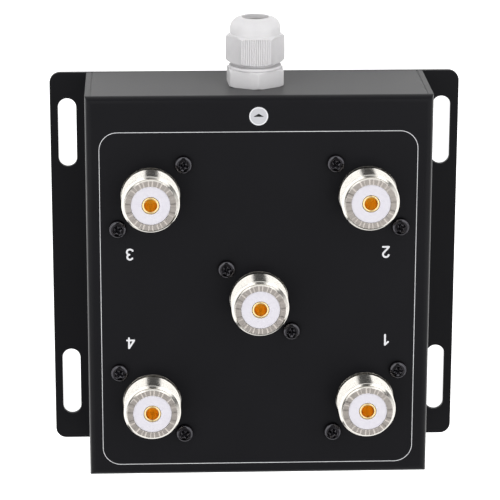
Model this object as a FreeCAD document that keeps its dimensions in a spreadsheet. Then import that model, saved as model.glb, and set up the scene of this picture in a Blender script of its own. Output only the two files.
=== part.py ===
import FreeCAD, Part

import math
import os
import re

from FreeCAD import Rotation, Vector
from Sketcher import Constraint

# Five-socket coaxial antenna switch in a folded sheet-metal box with wall ears.
# Frame: origin in the middle of the back plate's rear face, +Z out of the socket panel,
# +X towards the wall that carries the cable gland, +Y across the box. Millimetres.
# The sheet "sizes" holds the dimensions that are set by hand and "places" what follows from
# them. Relays, sockets and gland are drawn once in a frame of their own and placed by links.

DOC = FreeCAD.newDocument("coaxial_antenna_switch")

# ------------------------------------------------------------------ driving dimensions
SIZES = [
    # folded cover
    ("box_long", 110.0, "outside length of the cover along X"),
    ("box_wide", 95.5, "outside width of the cover along Y"),
    ("cover_deep", 31.5, "cover height above the back plate"),
    ("sheet_thick", 1.5, "cover sheet"),
    ("bend_in", 0.5, "inside radius of the panel bends"),
    ("corner_gap", 0.25, "open seam where two folded walls meet"),
    ("lip_wide", 9.0, "rear lips folded in from the two long walls"),
    ("lip_short", 5.0, "how far each lip stops short of the box end"),
    # back plate
    ("plate_thick", 1.5, "back plate sheet"),
    ("ear_wide", 10.5, "how far an ear stands out past the box"),
    ("ear_corner", 3.0, "corner radius of the ears"),
    ("slot_long", 20.0, "wall slot, end to end"),
    ("slot_wide", 5.2, "wall slot width"),
    ("slot_inset", 17.5, "slot middle from the end of the plate"),
    ("slot_edge", 4.85, "slot middle from the ear's outer edge"),
    # screws from the rear into the lips
    ("cover_screw", 3.0, "cover screw thread"),
    ("cover_screw_over", 1.0, "cover screw past its clinch nut"),
    ("cover_head", 5.2, "cover screw flat head"),
    ("cover_screw_inset", 13.0, "cover screw from the box end"),
    ("clinch_flange", 6.2, "clinch nut flange diameter"),
    ("clinch_tall", 2.0, "clinch nut height above the lip"),
    ("clinch_spigot", 4.6, "clinch nut spigot diameter"),
    # coaxial sockets
    ("common_shift", 3.0, "common socket from the middle of the panel, away from the gland"),
    ("port_inset_near", 28.0, "sockets 2 and 3 from the gland's end of the box"),
    ("port_inset_far", 22.0, "sockets 1 and 4 from the other end"),
    ("port_inset_side", 17.75, "corner sockets from the long sides"),
    ("port_rise", 9.8, "socket rim above the panel"),
    ("thread_dia", 15.875, "socket thread, 5/8 inch"),
    ("neck_relief", 0.3375, "plain neck inside the panel, below the thread's crest"),
    ("panel_room", 0.2625, "radial room of a socket in its panel hole"),
    ("flange_wide", 25.4, "square socket flange"),
    ("flange_thick", 1.6, "socket flange"),
    ("flange_pitch", 18.2, "socket flange holes"),
    ("flange_room", 0.35, "radial room of a screw in its flange hole"),
    ("shell_bore", 11.2, "inside of the socket barrel"),
    ("boss_hole", 9.2, "hole in the flange for the insulator boss"),
    ("boss_long", 4.5, "insulator boss behind the flange"),
    ("insulator_recess", 0.5, "insulator face below the rim"),
    ("contact_bore", 4.0, "socket contact, inside"),
    ("contact_wall", 0.4, "wall of the socket contact"),
    ("contact_play", 0.25, "radial room for the contact to spread in the insulator"),
    ("contact_deep", 9.0, "depth of the contact bore"),
    ("contact_recess", 0.2, "contact mouth below the rim"),
    ("contact_floor", 1.0, "solid metal under the contact bore"),
    ("contact_slit", 0.5, "slit in the contact"),
    ("contact_slit_deep", 6.0, "depth of the slits"),
    ("tail_dia", 3.0, "solder tail of the contact"),
    ("tail_proud", 1.3, "solder tail past the board"),
    # small screws, nuts and spacers
    ("screw_dia", 2.5, "socket and board screw thread"),
    ("screw_room", 0.15, "radial room in their clearance holes"),
    ("head_dia", 5.0, "pan head diameter"),
    ("head_tall", 1.9, "pan head height"),
    ("head_round", 1.0, "rounding of the pan head"),
    ("recess_wide", 0.8, "cross recess, one arm"),
    ("recess_long", 2.9, "cross recess across"),
    ("recess_deep", 1.1, "cross recess depth"),
    ("screw_over", 0.9, "socket screw past its nut"),
    ("tip_gap", 0.7, "gap between the two screw tips in a spacer"),
    ("nut_across", 5.0, "nuts and spacers across flats"),
    ("nut_tall", 2.0, "socket nut height"),
    ("spacer_tall", 6.0, "board spacer height"),
    ("thread_fit", 0.05, "radial room between a thread and its nut"),
    # circuit board
    ("board_room_near", 10.5, "board end from the inside of the gland's wall"),
    ("board_room_far", 4.5, "board end from the inside of the far wall"),
    ("board_room_side", 3.25, "board sides from the inside of the long walls"),
    ("board_thick", 1.6, "board thickness"),
    ("board_corner", 2.0, "board corner radius"),
    ("hole_room", 0.2, "radial room of tails and pins in their board holes"),
    # relays
    ("relay_long", 19.0, "relay along X"),
    ("relay_wide", 15.5, "relay along Y"),
    ("relay_tall", 15.3, "relay height from the board"),
    ("relay_gap_long", 15.0, "between two relays along X, for the common socket"),
    ("relay_gap_wide", 14.5, "between two relays along Y"),
    ("base_thick", 1.6, "relay base"),
    ("case_wall", 0.8, "relay case wall"),
    ("pin_dia", 0.9, "relay and terminal pins"),
    ("pin_proud", 1.5, "pins past the board"),
    ("core_dia", 4.0, "iron core"),
    ("pole_dia", 6.4, "pole face"),
    ("pole_thick", 0.6, "pole face thickness"),
    ("cheek_room", 0.65, "between the square bobbin cheeks and the coil pins"),
    ("cheek_thick", 0.8, "bobbin cheek thickness"),
    ("cheek_proud", 0.3, "cheeks past the winding"),
    ("bobbin_wall", 0.6, "wall of the bobbin tube"),
    ("coil_room", 0.1, "play round the core and between cheek and winding"),
    ("yoke_thick", 1.0, "yoke plate"),
    ("yoke_narrow", 0.7, "yoke edge inside the bobbin cheek's edge"),
    ("yoke_room", 0.4, "between the yoke and the case"),
    ("yoke_foot_proud", 1.0, "yoke foot past the core"),
    ("armature_thick", 1.0, "armature plate"),
    ("armature_gap", 1.8, "between the armature's front and the blade arms"),
    ("armature_room", 0.1, "armature above the pole when pulled in"),
    ("armature_swing", 4.0, "armature travel in degrees"),
    ("leaf_thick", 0.25, "contact spring leaf"),
    ("leaf_wide", 4.0, "contact spring leaf width"),
    ("leaf_lap", 3.0, "contact spring leaf behind the coil's axis"),
    ("leaf_room", 0.4, "between the leaf's front end and the blades"),
    ("rivet_room", 0.8, "between a contact rivet and the blades"),
    ("rivet_dia", 2.0, "contact rivets"),
    ("rivet_under", 0.4, "moving contact below the leaf"),
    ("rivet_over", 0.4, "moving contact above the leaf"),
    ("blade_room", 0.3, "between the fixed contact blades and the case"),
    ("blade_thick", 0.4, "fixed contact blade"),
    ("blade_wide", 3.0, "fixed contact blade width"),
    ("blade_off", 2.0, "blade middle from the relay's middle line"),
    ("contact_room", 0.05, "gap left at a made contact"),
    ("top_room", 0.1, "between the upper fixed contact and the case"),
    ("closed_stud", 0.15, "upper fixed contact thickness"),
    ("open_stud", 0.35, "lower fixed contact thickness"),
    ("coil_pin_back", 3.0, "coil pins behind the coil's axis"),
    ("coil_pin_room", 0.2, "between the coil pins and the case"),
    ("coil_pin_top", 3.4, "coil pin above the board"),
    # small parts on the board
    ("diode_long", 4.3, "diode body"),
    ("diode_wide", 2.6, "diode body"),
    ("diode_tall", 2.2, "diode body"),
    ("diode_gap", 3.5, "diode centre from the relay's side"),
    ("diode_tab", 0.5, "diode end tab"),
    ("chip_long", 3.2, "chip capacitor"),
    ("chip_wide", 1.6, "chip capacitor"),
    ("chip_tall", 1.2, "chip capacitor"),
    ("chip_gap", 3.5, "capacitor centre from the terminal block"),
    # terminal block
    ("pole_pitch", 5.08, "terminal pitch"),
    ("terminal_deep", 8.2, "terminal block along X"),
    ("terminal_tall", 10.0, "terminal block height"),
    ("terminal_inset", 6.0, "terminal block centre from the board's end"),
    ("wire_mouth", 3.8, "wire opening across"),
    ("wire_mouth_tall", 4.4, "wire opening height"),
    ("wire_mouth_low", 1.6, "wire opening above the board"),
    ("wire_mouth_deep", 6.8, "wire opening depth"),
    ("clamp_play", 0.1, "room beside and above a clamp in its wire opening"),
    ("clamp_deep", 3.6, "clamp along X"),
    ("clamp_wall", 0.6, "clamp wall"),
    ("terminal_well", 3.8, "screw well diameter"),
    ("well_room", 0.15, "radial room of the terminal screw in its well"),
    ("terminal_screw_tall", 2.6, "terminal screw head height"),
    ("terminal_tip", 2.0, "terminal screw thread"),
    ("terminal_tip_long", 1.8, "terminal screw thread length"),
    # cable gland
    ("gland_lift", 0.4, "gland axis above the middle of the box's height"),
    ("gland_side", 0.6, "gland axis off the middle line"),
    ("gland_thread", 12.4, "gland threads"),
    ("gland_room", 0.2, "radial room of the thread in the wall's hole"),
    ("gland_tail", 8.0, "thread inside the wall"),
    ("gland_hex_step", 1.3, "gland hexagon's flats outside the thread"),
    ("gland_hex_tall", 4.7, "gland hexagon height"),
    ("gland_hex_turn", 4.0, "where the hexagon stopped, degrees"),
    ("hex_chamfer", 0.5, "corner chamfer of the hexagons"),
    ("collar_step", 1.15, "round collar above the hexagon, outside the thread"),
    ("collar_tall", 0.8, "collar height"),
    ("gland_bore", 8.0, "bore through the gland"),
    ("claw_tall", 3.2, "clamping fingers past the thread"),
    ("claw_gap", 1.6, "between the fingers and the seal's flange"),
    ("claw_root_wall", 1.2, "wall of the fingers at their root"),
    ("claw_tip_wall", 0.4, "wall of the fingers at their tip"),
    ("claw_slit", 0.6, "slit between two fingers"),
    ("claw_slit_deep", 2.8, "depth of those slits"),
    ("dome_gap", 0.85, "open thread between collar and dome nut"),
    ("dome_hex_wall", 0.98, "dome nut's flats outside its thread"),
    ("dome_hex_tall", 7.85, "dome nut hexagon height"),
    ("dome_wall", 0.8, "dome's side outside the nut's thread"),
    ("dome_tall", 4.7, "dome height above the hexagon"),
    ("dome_round", 3.1, "dome edge radius"),
    ("mouth_ledge", 0.4, "how far the dome's lip covers the seal's flange"),
    ("mouth_lip", 1.3, "thickness of the dome at the opening"),
    ("dome_cone_room", 0.1, "radial room of the seal's flange inside the dome"),
    ("dome_cone_tall", 4.4, "height of that cone"),
    ("seal_bore", 6.0, "hole in the rubber seal"),
    ("seal_side", 0.25, "radial room of the seal in the gland's bore"),
    ("seal_low", 8.0, "lower end of the seal"),
    ("seal_flange_step", 0.35, "seal flange outside its sleeve"),
    ("seal_flange_tall", 0.9, "seal flange height"),
    ("seal_room", 0.1, "seal flange under the dome's shoulder"),
    ("locknut_step", 2.8, "locknut's flats outside the thread"),
    ("locknut_tall", 4.5, "locknut height"),
    ("gasket_step", 0.75, "gasket outside the thread"),
    ("gasket_thick", 0.6, "gasket"),
    ("gasket_room", 0.1, "radial room of the gasket in its recess"),
    # general
    ("slip_fit", 0.05, "radial room of a slip fit"),
]

# Places worked out from the dimensions above. A row may use the rows before it.
PLACES = [
    # box and plate
    ("half_long", "box_long / 2"),
    ("half_wide", "box_wide / 2"),
    ("inner_long", "half_long - sheet_thick"),
    ("inner_wide", "half_wide - sheet_thick"),
    ("bend_out", "bend_in + sheet_thick"),
    ("plate_edge", "half_wide + ear_wide"),
    ("slot_x", "half_long - slot_inset"),
    ("slot_y", "plate_edge - slot_edge"),
    ("lip_end", "half_long - lip_short"),
    ("cover_screw_x", "half_long - cover_screw_inset"),
    ("cover_screw_y", "inner_wide - lip_wide / 2"),
    ("cover_screw_long", "plate_thick + sheet_thick + clinch_tall + cover_screw_over"),
    # levels, from the panel's face back to the rear of the board
    ("panel_top", "plate_thick + cover_deep"),
    ("panel_back", "panel_top - sheet_thick"),
    ("flange_back", "panel_back - flange_thick"),
    ("board_front", "flange_back - spacer_tall"),
    ("board_back", "board_front - board_thick"),
    # sockets and their screws
    ("common_x", "-common_shift"),
    ("port_near", "half_long - port_inset_near"),
    ("port_far", "port_inset_far - half_long"),
    ("port_y", "half_wide - port_inset_side"),
    ("neck_dia", "thread_dia - 2 * neck_relief"),
    ("panel_hole", "thread_dia + 2 * panel_room"),
    ("contact_dia", "contact_bore + 2 * contact_wall"),
    ("insulator_hole", "contact_dia + 2 * contact_play"),
    ("contact_top", "port_rise - contact_recess"),
    ("contact_foot", "contact_top - contact_deep - contact_floor"),
    ("tail_end", "-sheet_thick - flange_thick - spacer_tall - board_thick - tail_proud"),
    ("screw_hole", "screw_dia + 2 * screw_room"),
    ("flange_hole", "screw_dia + 2 * flange_room"),
    ("socket_screw_long", "sheet_thick + flange_thick + nut_tall + screw_over"),
    ("board_screw_long", "board_thick + spacer_tall - nut_tall - screw_over - tip_gap"),
    # board
    ("board_end", "inner_long - board_room_near"),
    ("board_far", "board_room_far - inner_long"),
    ("board_side", "inner_wide - board_room_side"),
    ("tail_hole", "tail_dia + 2 * hole_room"),
    ("pin_hole", "pin_dia + 2 * hole_room"),
    ("terminal_x", "board_end - terminal_inset"),
    ("chip_x", "terminal_x - terminal_deep / 2 - chip_gap"),
    ("clamp_wide", "wire_mouth - 2 * clamp_play"),
    ("clamp_tall", "wire_mouth_tall - 2 * clamp_play"),
    ("terminal_screw", "terminal_well - 2 * well_room"),
    # relays: lengths and widths in a relay's own frame
    ("relay_off_long", "(relay_long + relay_gap_long) / 2"),
    ("relay_off_wide", "(relay_wide + relay_gap_wide) / 2"),
    ("diode_y", "relay_off_wide + relay_wide / 2 + diode_gap"),
    ("yoke_back", "relay_long / 2 - case_wall - yoke_room"),
    ("pivot_x", "yoke_thick / 2 - yoke_back"),
    ("blade_x", "relay_long / 2 - case_wall - blade_room - blade_thick"),
    ("leaf_front", "blade_x - leaf_room"),
    ("rivet_x", "blade_x - rivet_room - rivet_dia / 2"),
    ("blade_back", "rivet_x - rivet_dia / 2"),
    ("armature_front", "blade_back - armature_gap"),
    ("coil_pin_y", "relay_wide / 2 - case_wall - coil_pin_room - pin_dia / 2"),
    ("bobbin_wide", "2 * coil_pin_y - pin_dia - 2 * cheek_room"),
    ("bobbin_tube", "core_dia + 2 * coil_room + 2 * bobbin_wall"),
    ("winding_dia", "bobbin_wide - 2 * cheek_proud"),
    ("yoke_wide", "bobbin_wide - 2 * yoke_narrow"),
    ("coil_x", "yoke_thick + coil_room + bobbin_wide / 2 - yoke_back"),
    ("coil_pin_x", "coil_x - coil_pin_back"),
    ("leaf_back", "coil_x - leaf_lap"),
    ("yoke_foot_end", "coil_x + core_dia / 2 + yoke_foot_proud"),
    # relays: heights above the board; the moving contact's front edge stands highest at rest
    ("rivet_top", "armature_room / 2 + armature_thick + leaf_thick + rivet_over"),
    ("rivet_reach", "rivet_x + rivet_dia / 2 - pivot_x"),
    ("rest_rise", "rivet_reach * sin(armature_swing) + rivet_top * cos(armature_swing)"),
    ("closed_height", "relay_tall - case_wall - top_room - blade_thick - closed_stud"),
    ("pivot_height", "closed_height - contact_room - rest_rise"),
    ("yoke_tall", "pivot_height - armature_room / 2"),
    # gland, from the wall outwards
    ("gland_rise", "panel_top / 2 + gland_lift"),
    ("gland_hole", "gland_thread + 2 * gland_room"),
    ("gland_hex", "gland_thread + 2 * gland_hex_step"),
    ("collar_dia", "gland_thread + 2 * collar_step"),
    ("gasket_dia", "gland_thread + 2 * gasket_step"),
    ("gasket_seat", "gasket_dia + 2 * gasket_room"),
    ("locknut_across", "gland_thread + 2 * locknut_step"),
    ("nut_thread", "gland_thread + 2 * thread_fit"),
    ("dome_hex", "nut_thread + 2 * dome_hex_wall"),
    ("dome_dia", "nut_thread + 2 * dome_wall"),
    ("seal_dia", "gland_bore - 2 * seal_side"),
    ("seal_flange", "seal_dia + 2 * seal_flange_step"),
    ("mouth_dia", "seal_flange - 2 * mouth_ledge"),
    ("dome_cone_end", "seal_flange + 2 * dome_cone_room"),
    ("claw_root", "gland_bore + 2 * claw_root_wall"),
    ("claw_tip", "gland_bore + 2 * claw_tip_wall"),
    ("dome_low", "gland_hex_tall + collar_tall + dome_gap"),
    ("dome_shoulder", "dome_low + dome_hex_tall"),
    ("dome_top", "dome_shoulder + dome_tall"),
    ("seal_top", "dome_top - mouth_lip - seal_room"),
    ("claw_top", "seal_top - seal_flange_tall - claw_gap"),
    ("thread_top", "claw_top - claw_tall"),
]


def fill_sheet(name, rows, formula):
    """A spreadsheet with the alias in column A, its value in B and its meaning in C."""
    sheet = DOC.addObject("Spreadsheet::Sheet", name)
    for row, entry in enumerate(rows, start=1):
        sheet.set(f"A{row}", entry[0])
        sheet.set(f"B{row}", formula(entry[1]))
        sheet.setAlias(f"B{row}", entry[0])
        if len(entry) > 2:
            sheet.set(f"C{row}", entry[2])
    DOC.recompute()
    return sheet


OWNER = {entry[0]: "sizes" for entry in SIZES}
OWNER.update({entry[0]: "places" for entry in PLACES})
WORD = re.compile(r"[a-z][a-z_]+")


def full(text):
    """An expression with each alias given its sheet's name."""
    return WORD.sub(lambda found: f"{OWNER[found[0]]}.{found[0]}" if found[0] in OWNER else found[0], text)


SHEETS = {
    "sizes": fill_sheet("sizes", SIZES, str),
    "places": fill_sheet("places", PLACES, lambda text: "=" + full(text).replace("places.", "")),
}


def mm(alias):
    """The number that a sheet holds."""
    return float(SHEETS[OWNER[alias]].get(alias))


# ------------------------------------------------------------------ making pieces
FLIP_X = Rotation(Vector(1, 0, 0), 180)
FLIP_Y = Rotation(Vector(0, 1, 0), 180)
TO_WALL = Rotation(Vector(0, 1, 0), 90)
NO_TURN = Rotation()
NODES = []


def bind(item, **properties):
    """Tie an object's properties to expressions."""
    for prop, text in properties.items():
        item.setExpression(prop, full(text))
    return item


def put(item, across="0", along="0", up="0", turn=NO_TURN):
    """Place an object at expressions for X, Y and Z, turned about its own origin."""
    item.Placement.Rotation = turn
    for axis, text in (("x", across), ("y", along), ("z", up)):
        item.setExpression(f"Placement.Base.{axis}", full(text))
    return item


def box(name, long, wide, tall, across="0", along="0", up="0"):
    """A block centred on (across, along) that stands on up."""
    item = DOC.addObject("Part::Box", name)
    bind(item, Length=long, Width=wide, Height=tall)
    return put(item, f"{across} - ({long}) / 2", f"{along} - ({wide}) / 2", up)


def rod(name, diameter, tall, across="0", along="0", up="0"):
    """An upright cylinder that stands on up."""
    item = DOC.addObject("Part::Cylinder", name)
    bind(item, Radius=f"({diameter}) / 2", Height=tall)
    return put(item, across, along, up)


def cone(name, low_diameter, high_diameter, tall, up="0"):
    """An upright cone on the Z axis."""
    item = DOC.addObject("Part::Cone", name)
    bind(item, Radius1=f"({low_diameter}) / 2", Radius2=f"({high_diameter}) / 2", Height=tall)
    return put(item, up=up)


def hexagon(name, across_flats, tall, up="0", turn=NO_TURN):
    """A hexagonal bar on the Z axis with a corner on +X before its turn."""
    item = DOC.addObject("Part::Prism", name)
    item.Polygon = 6
    bind(item, Circumradius=f"({across_flats}) / 2 / cos(30)", Height=tall)
    return put(item, up=up, turn=turn)


def fuse(name, *pieces):
    item = DOC.addObject("Part::MultiFuse", name)
    item.Shapes = list(pieces)
    return item


def cut(name, base, *tools):
    item = DOC.addObject("Part::Cut", name)
    item.Base = base
    item.Tool = tools[0] if len(tools) == 1 else fuse(name + "_tools", *tools)
    return item


def common(name, *pieces):
    item = DOC.addObject("Part::MultiCommon", name)
    item.Shapes = list(pieces)
    return item


def tube(name, outside, inside, tall, up="0"):
    """A ring: outer cylinder less a longer inner one."""
    wall = rod(name + "_wall", outside, tall, up=up)
    hole = rod(name + "_hole", inside, f"{tall} + 2", up=f"{up} - 1")
    return cut(name, wall, hole)


def round_edges(name, base, radius, wanted, chamfer=False):
    """Fillet or chamfer the edges of base that wanted(edge) picks."""
    DOC.recompute()
    item = DOC.addObject("Part::Chamfer" if chamfer else "Part::Fillet", name)
    item.Base = base
    picked = [n for n, edge in enumerate(base.Shape.Edges, start=1) if wanted(edge)]
    item.Edges = [(n, radius, radius) for n in picked]
    return item


def level(height):
    """A test for edges that lie flat at this height."""
    return lambda edge: abs(edge.BoundBox.ZMin - height) < 1e-4 and abs(edge.BoundBox.ZMax - height) < 1e-4


def upright(height):
    """A test for edges that run through a sheet of this height."""
    return lambda edge: abs(edge.BoundBox.ZLength - height) < 1e-4


def node(label, *copies):
    """A finished sub-part: the named group of its placed copies."""
    item = DOC.addObject("Part::Compound", label)
    item.Label = label
    item.Links = list(copies)
    NODES.append(item)
    return item


def copy(pattern, across="0", along="0", up="0", turn=NO_TURN):
    """One placed copy of a pattern piece."""
    item = DOC.addObject("App::Link", pattern.Name + "_copy")
    item.LinkedObject = pattern
    item.LinkTransform = True
    return put(item, across, along, up, turn)


# ------------------------------------------------------------------ sketches and bodies
def new_body(name):
    body = DOC.addObject("PartDesign::Body", name)
    body.Label = name
    return body


def new_sketch(body, name, role="XY_Plane", offset="0"):
    """A sketch on one of the body's own planes, moved along its normal."""
    sketch = body.newObject("Sketcher::SketchObject", name)
    plane = [item for item in body.Origin.OriginFeatures if item.Role == role][0]
    sketch.AttachmentSupport = [(plane, "")]
    sketch.MapMode = "FlatFace"
    sketch.setExpression("AttachmentOffset.Base.z", full(offset))
    return sketch


def value(text):
    """What an expression comes to, so that geometry is drawn where its constraints want it."""
    return float(DOC.sizes.evalExpression(full(text)))


def pin_down(sketch, kind, geometry, point, text):
    """Hold a coordinate of a point, or a circle's size, at an expression."""
    target = (geometry,) if point is None else (geometry, point)
    index = sketch.addConstraint(Constraint(kind, *target, value(text)))
    sketch.setExpression(f"Constraints[{index}]", full(text))


def draw_circle(sketch, diameter, across="0", along="0"):
    centre = Vector(value(across), value(along), 0)
    circle = sketch.addGeometry(Part.Circle(centre, Vector(0, 0, 1), value(diameter) / 2), False)
    pin_down(sketch, "Diameter", circle, None, diameter)
    pin_down(sketch, "DistanceX", circle, 3, across)
    pin_down(sketch, "DistanceY", circle, 3, along)


def draw_rectangle(sketch, left, right, low, high):
    """A rectangle whose four sides lie at the given expressions."""
    x0, x1, y0, y1 = (value(text) for text in (left, right, low, high))
    corners = [Vector(x0, y0, 0), Vector(x1, y0, 0), Vector(x1, y1, 0), Vector(x0, y1, 0)]
    ends = corners[1:] + corners[:1]
    lines = [sketch.addGeometry(Part.LineSegment(a, b), False) for a, b in zip(corners, ends)]
    for line, following in zip(lines, lines[1:] + lines[:1]):
        sketch.addConstraint(Constraint("Coincident", line, 2, following, 1))
    for line, kind in zip(lines, ("Horizontal", "Vertical", "Horizontal", "Vertical")):
        sketch.addConstraint(Constraint(kind, line))
    pin_down(sketch, "DistanceX", lines[0], 1, left)
    pin_down(sketch, "DistanceY", lines[0], 1, low)
    pin_down(sketch, "DistanceX", lines[1], 2, right)
    pin_down(sketch, "DistanceY", lines[1], 2, high)


def draw_slot(sketch, long, wide, across, along):
    """A slot with round ends whose length runs along the sketch's first axis."""
    x, y, radius = value(across), value(along), value(wide) / 2
    half = value(long) / 2 - radius
    facing = Vector(0, 0, 1)
    quarter = math.pi / 2
    right_end = Part.ArcOfCircle(Part.Circle(Vector(x + half, y, 0), facing, radius), -quarter, quarter)
    left_end = Part.ArcOfCircle(Part.Circle(Vector(x - half, y, 0), facing, radius), quarter, 3 * quarter)
    top_side = Part.LineSegment(Vector(x + half, y + radius, 0), Vector(x - half, y + radius, 0))
    low_side = Part.LineSegment(Vector(x - half, y - radius, 0), Vector(x + half, y - radius, 0))
    pieces = (right_end, top_side, left_end, low_side)
    right, top, left, low = [sketch.addGeometry(piece, False) for piece in pieces]
    for piece, following in ((right, top), (top, left), (left, low), (low, right)):
        sketch.addConstraint(Constraint("Tangent", piece, 2, following, 1))
    sketch.addConstraint(Constraint("Equal", right, left))
    pin_down(sketch, "Radius", right, None, f"{wide} / 2")
    for arc, sign in ((right, "+"), (left, "-")):
        pin_down(sketch, "DistanceX", arc, 3, f"{across} {sign} ({long} - {wide}) / 2")
        pin_down(sketch, "DistanceY", arc, 3, along)


def extrude(body, kind, sketch, length, reverse=False):
    """A Pad or Pocket of a sketch; a Pocket that takes nothing away is an error."""
    DOC.recompute()
    before = body.Shape.Volume if not body.Shape.isNull() else 0.0
    feature = body.newObject(f"PartDesign::{kind}", f"{sketch.Name}_{kind.lower()}")
    feature.Profile = sketch
    feature.Reversed = reverse
    bind(feature, Length=length)
    DOC.recompute()
    gained = body.Shape.Volume - before
    if (kind == "Pad") != (gained > 1e-6):
        raise RuntimeError(f"{feature.Name} changed the volume by {gained}")
    return feature


def dress(body, kind, prop, text, wanted):
    """A PartDesign Fillet or Chamfer of the edges that wanted(edge) picks."""
    DOC.recompute()
    tip = body.Tip
    picked = [f"Edge{n}" for n, edge in enumerate(tip.Shape.Edges, start=1) if wanted(edge)]
    feature = body.newObject(f"PartDesign::{kind}", f"{body.Name}_{kind.lower()}")
    feature.Base = (tip, picked)
    bind(feature, **{prop: text})
    DOC.recompute()
    return feature


# ------------------------------------------------------------------ where things sit
SIGNS = ("+", "-")
# Each socket: its X and Y, and the diagonal of its flange that carries the two screws.
PORTS = {
    "common": ("common_x", "0", "+"),
    "port_1": ("port_far", "-port_y", "-"),
    "port_2": ("port_near", "-port_y", "+"),
    "port_3": ("port_near", "port_y", "-"),
    "port_4": ("port_far", "port_y", "+"),
}
OPPOSITE = {"+": "-", "-": "+"}


def socket_screw_spots(port):
    """The two screws of a socket: on +X and on -X of its centre."""
    across, along, diagonal = PORTS[port]
    plus = (f"{across} + flange_pitch / 2", f"{along} {diagonal} flange_pitch / 2")
    minus = (f"{across} - flange_pitch / 2", f"{along} {OPPOSITE[diagonal]} flange_pitch / 2")
    return plus, minus


# A corner socket's outer screw carries a board spacer, its inner screw a plain nut.
SPACER_SPOTS = [socket_screw_spots(port)[0] for port in ("port_1", "port_4")]
SPACER_SPOTS += [socket_screw_spots(port)[1] for port in ("port_2", "port_3")]
SOCKET_SCREW_SPOTS = [spot for port in PORTS for spot in socket_screw_spots(port)]
NUT_SPOTS = [spot for spot in SOCKET_SCREW_SPOTS if spot not in SPACER_SPOTS]
COVER_SCREW_SPOTS = [(f"{a}cover_screw_x", f"{b}cover_screw_y") for a in SIGNS for b in SIGNS]

# Relays 1 to 4 lie between the common socket and the socket of the same number. Seen from
# the board, the two on the gland side are flipped about X and the other two about Y.
RELAYS = {
    "1": ("common_x - relay_off_long", "-relay_off_wide", FLIP_Y),
    "2": ("common_x + relay_off_long", "-relay_off_wide", FLIP_X),
    "3": ("common_x + relay_off_long", "relay_off_wide", FLIP_X),
    "4": ("common_x - relay_off_long", "relay_off_wide", FLIP_Y),
}
# Pins of one relay in its own frame: yoke, two coil pins, two fixed contacts.
RELAY_PINS = [
    ("pivot_x", "0"),
    ("coil_pin_x", "coil_pin_y"),
    ("coil_pin_x", "-coil_pin_y"),
    ("blade_x + blade_thick / 2", "blade_off"),
    ("blade_x + blade_thick / 2", "-blade_off"),
]
POLES = [f"{n} * pole_pitch" for n in (-2, -1, 0, 1, 2)]


def relay_spot(number, across, along):
    """A point of a relay's own frame, on the board."""
    middle, side, turn = RELAYS[number]
    if turn is FLIP_X:
        return f"{middle} + ({across})", f"{side} - ({along})"
    return f"{middle} - ({across})", f"{side} + ({along})"


# ------------------------------------------------------------------ back plate
def make_back_plate():
    body = new_body("back_plate")
    outline = new_sketch(body, "plate_outline")
    draw_rectangle(outline, "-half_long", "half_long", "-plate_edge", "plate_edge")
    extrude(body, "Pad", outline, "plate_thick")
    dress(body, "Fillet", "Radius", "ear_corner", upright(mm("plate_thick")))
    slots = new_sketch(body, "wall_slots")
    for a in SIGNS:
        for b in SIGNS:
            draw_slot(slots, "slot_long", "slot_wide", f"{a}slot_x", f"{b}slot_y")
    extrude(body, "Pocket", slots, "plate_thick", reverse=True)
    holes = new_sketch(body, "plate_screw_holes")
    for across, along in COVER_SCREW_SPOTS:
        draw_circle(holes, "cover_screw + 2 * slip_fit", across, along)
    extrude(body, "Pocket", holes, "plate_thick", reverse=True)
    small = (mm("cover_screw") + 2 * mm("slip_fit")) * 3.1416
    rear_rims = lambda edge: level(0.0)(edge) and abs(edge.Length - small) < 0.1
    dress(body, "Chamfer", "Size", "(cover_head - cover_screw) / 2 + slip_fit", rear_rims)
    NODES.append(body)


# ------------------------------------------------------------------ cover
def make_cover():
    """Panel, four walls and two rear lips folded from one sheet."""
    body = new_body("cover")
    outline = new_sketch(body, "cover_outline", offset="plate_thick")
    draw_rectangle(outline, "-half_long", "half_long", "-half_wide", "half_wide")
    extrude(body, "Pad", outline, "cover_deep")
    dress(body, "Fillet", "Radius", "bend_out", level(mm("panel_top")))
    hollow = new_sketch(body, "cover_hollow", offset="plate_thick")
    draw_rectangle(hollow, "-inner_long", "inner_long", "-inner_wide", "inner_wide")
    extrude(body, "Pocket", hollow, "cover_deep - sheet_thick", reverse=True)
    dress(body, "Fillet", "Radius", "bend_in", level(mm("panel_back")))
    lips = new_sketch(body, "cover_lips", offset="plate_thick")
    draw_rectangle(lips, "-lip_end", "lip_end", "inner_wide - lip_wide", "inner_wide")
    draw_rectangle(lips, "-lip_end", "lip_end", "-inner_wide", "lip_wide - inner_wide")
    extrude(body, "Pad", lips, "sheet_thick")

    openings = new_sketch(body, "panel_holes", offset="panel_top")
    for across, along, _ in PORTS.values():
        draw_circle(openings, "panel_hole", across, along)
    for across, along in SOCKET_SCREW_SPOTS:
        draw_circle(openings, "screw_hole", across, along)
    extrude(body, "Pocket", openings, "2 * sheet_thick")
    gland_opening = new_sketch(body, "gland_opening", "YZ_Plane", "half_long")
    draw_circle(gland_opening, "gland_hole", "gland_side", "gland_rise")
    extrude(body, "Pocket", gland_opening, "2 * sheet_thick")
    clinch_holes = new_sketch(body, "clinch_holes", offset="plate_thick")
    for across, along in COVER_SCREW_SPOTS:
        draw_circle(clinch_holes, "clinch_spigot + 2 * slip_fit", across, along)
    extrude(body, "Pocket", clinch_holes, "sheet_thick", reverse=True)

    seams = new_sketch(body, "corner_seams", offset="plate_thick")
    for a in SIGNS:
        ends = [f"{a}inner_long", f"{a}(half_long + 1)"]
        left, right = ends if a == "+" else ends[::-1]
        draw_rectangle(seams, left, right, "inner_wide - corner_gap", "inner_wide")
        draw_rectangle(seams, left, right, "-inner_wide", "corner_gap - inner_wide")
    extrude(body, "Pocket", seams, "cover_deep - bend_out", reverse=True)
    NODES.append(body)


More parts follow.
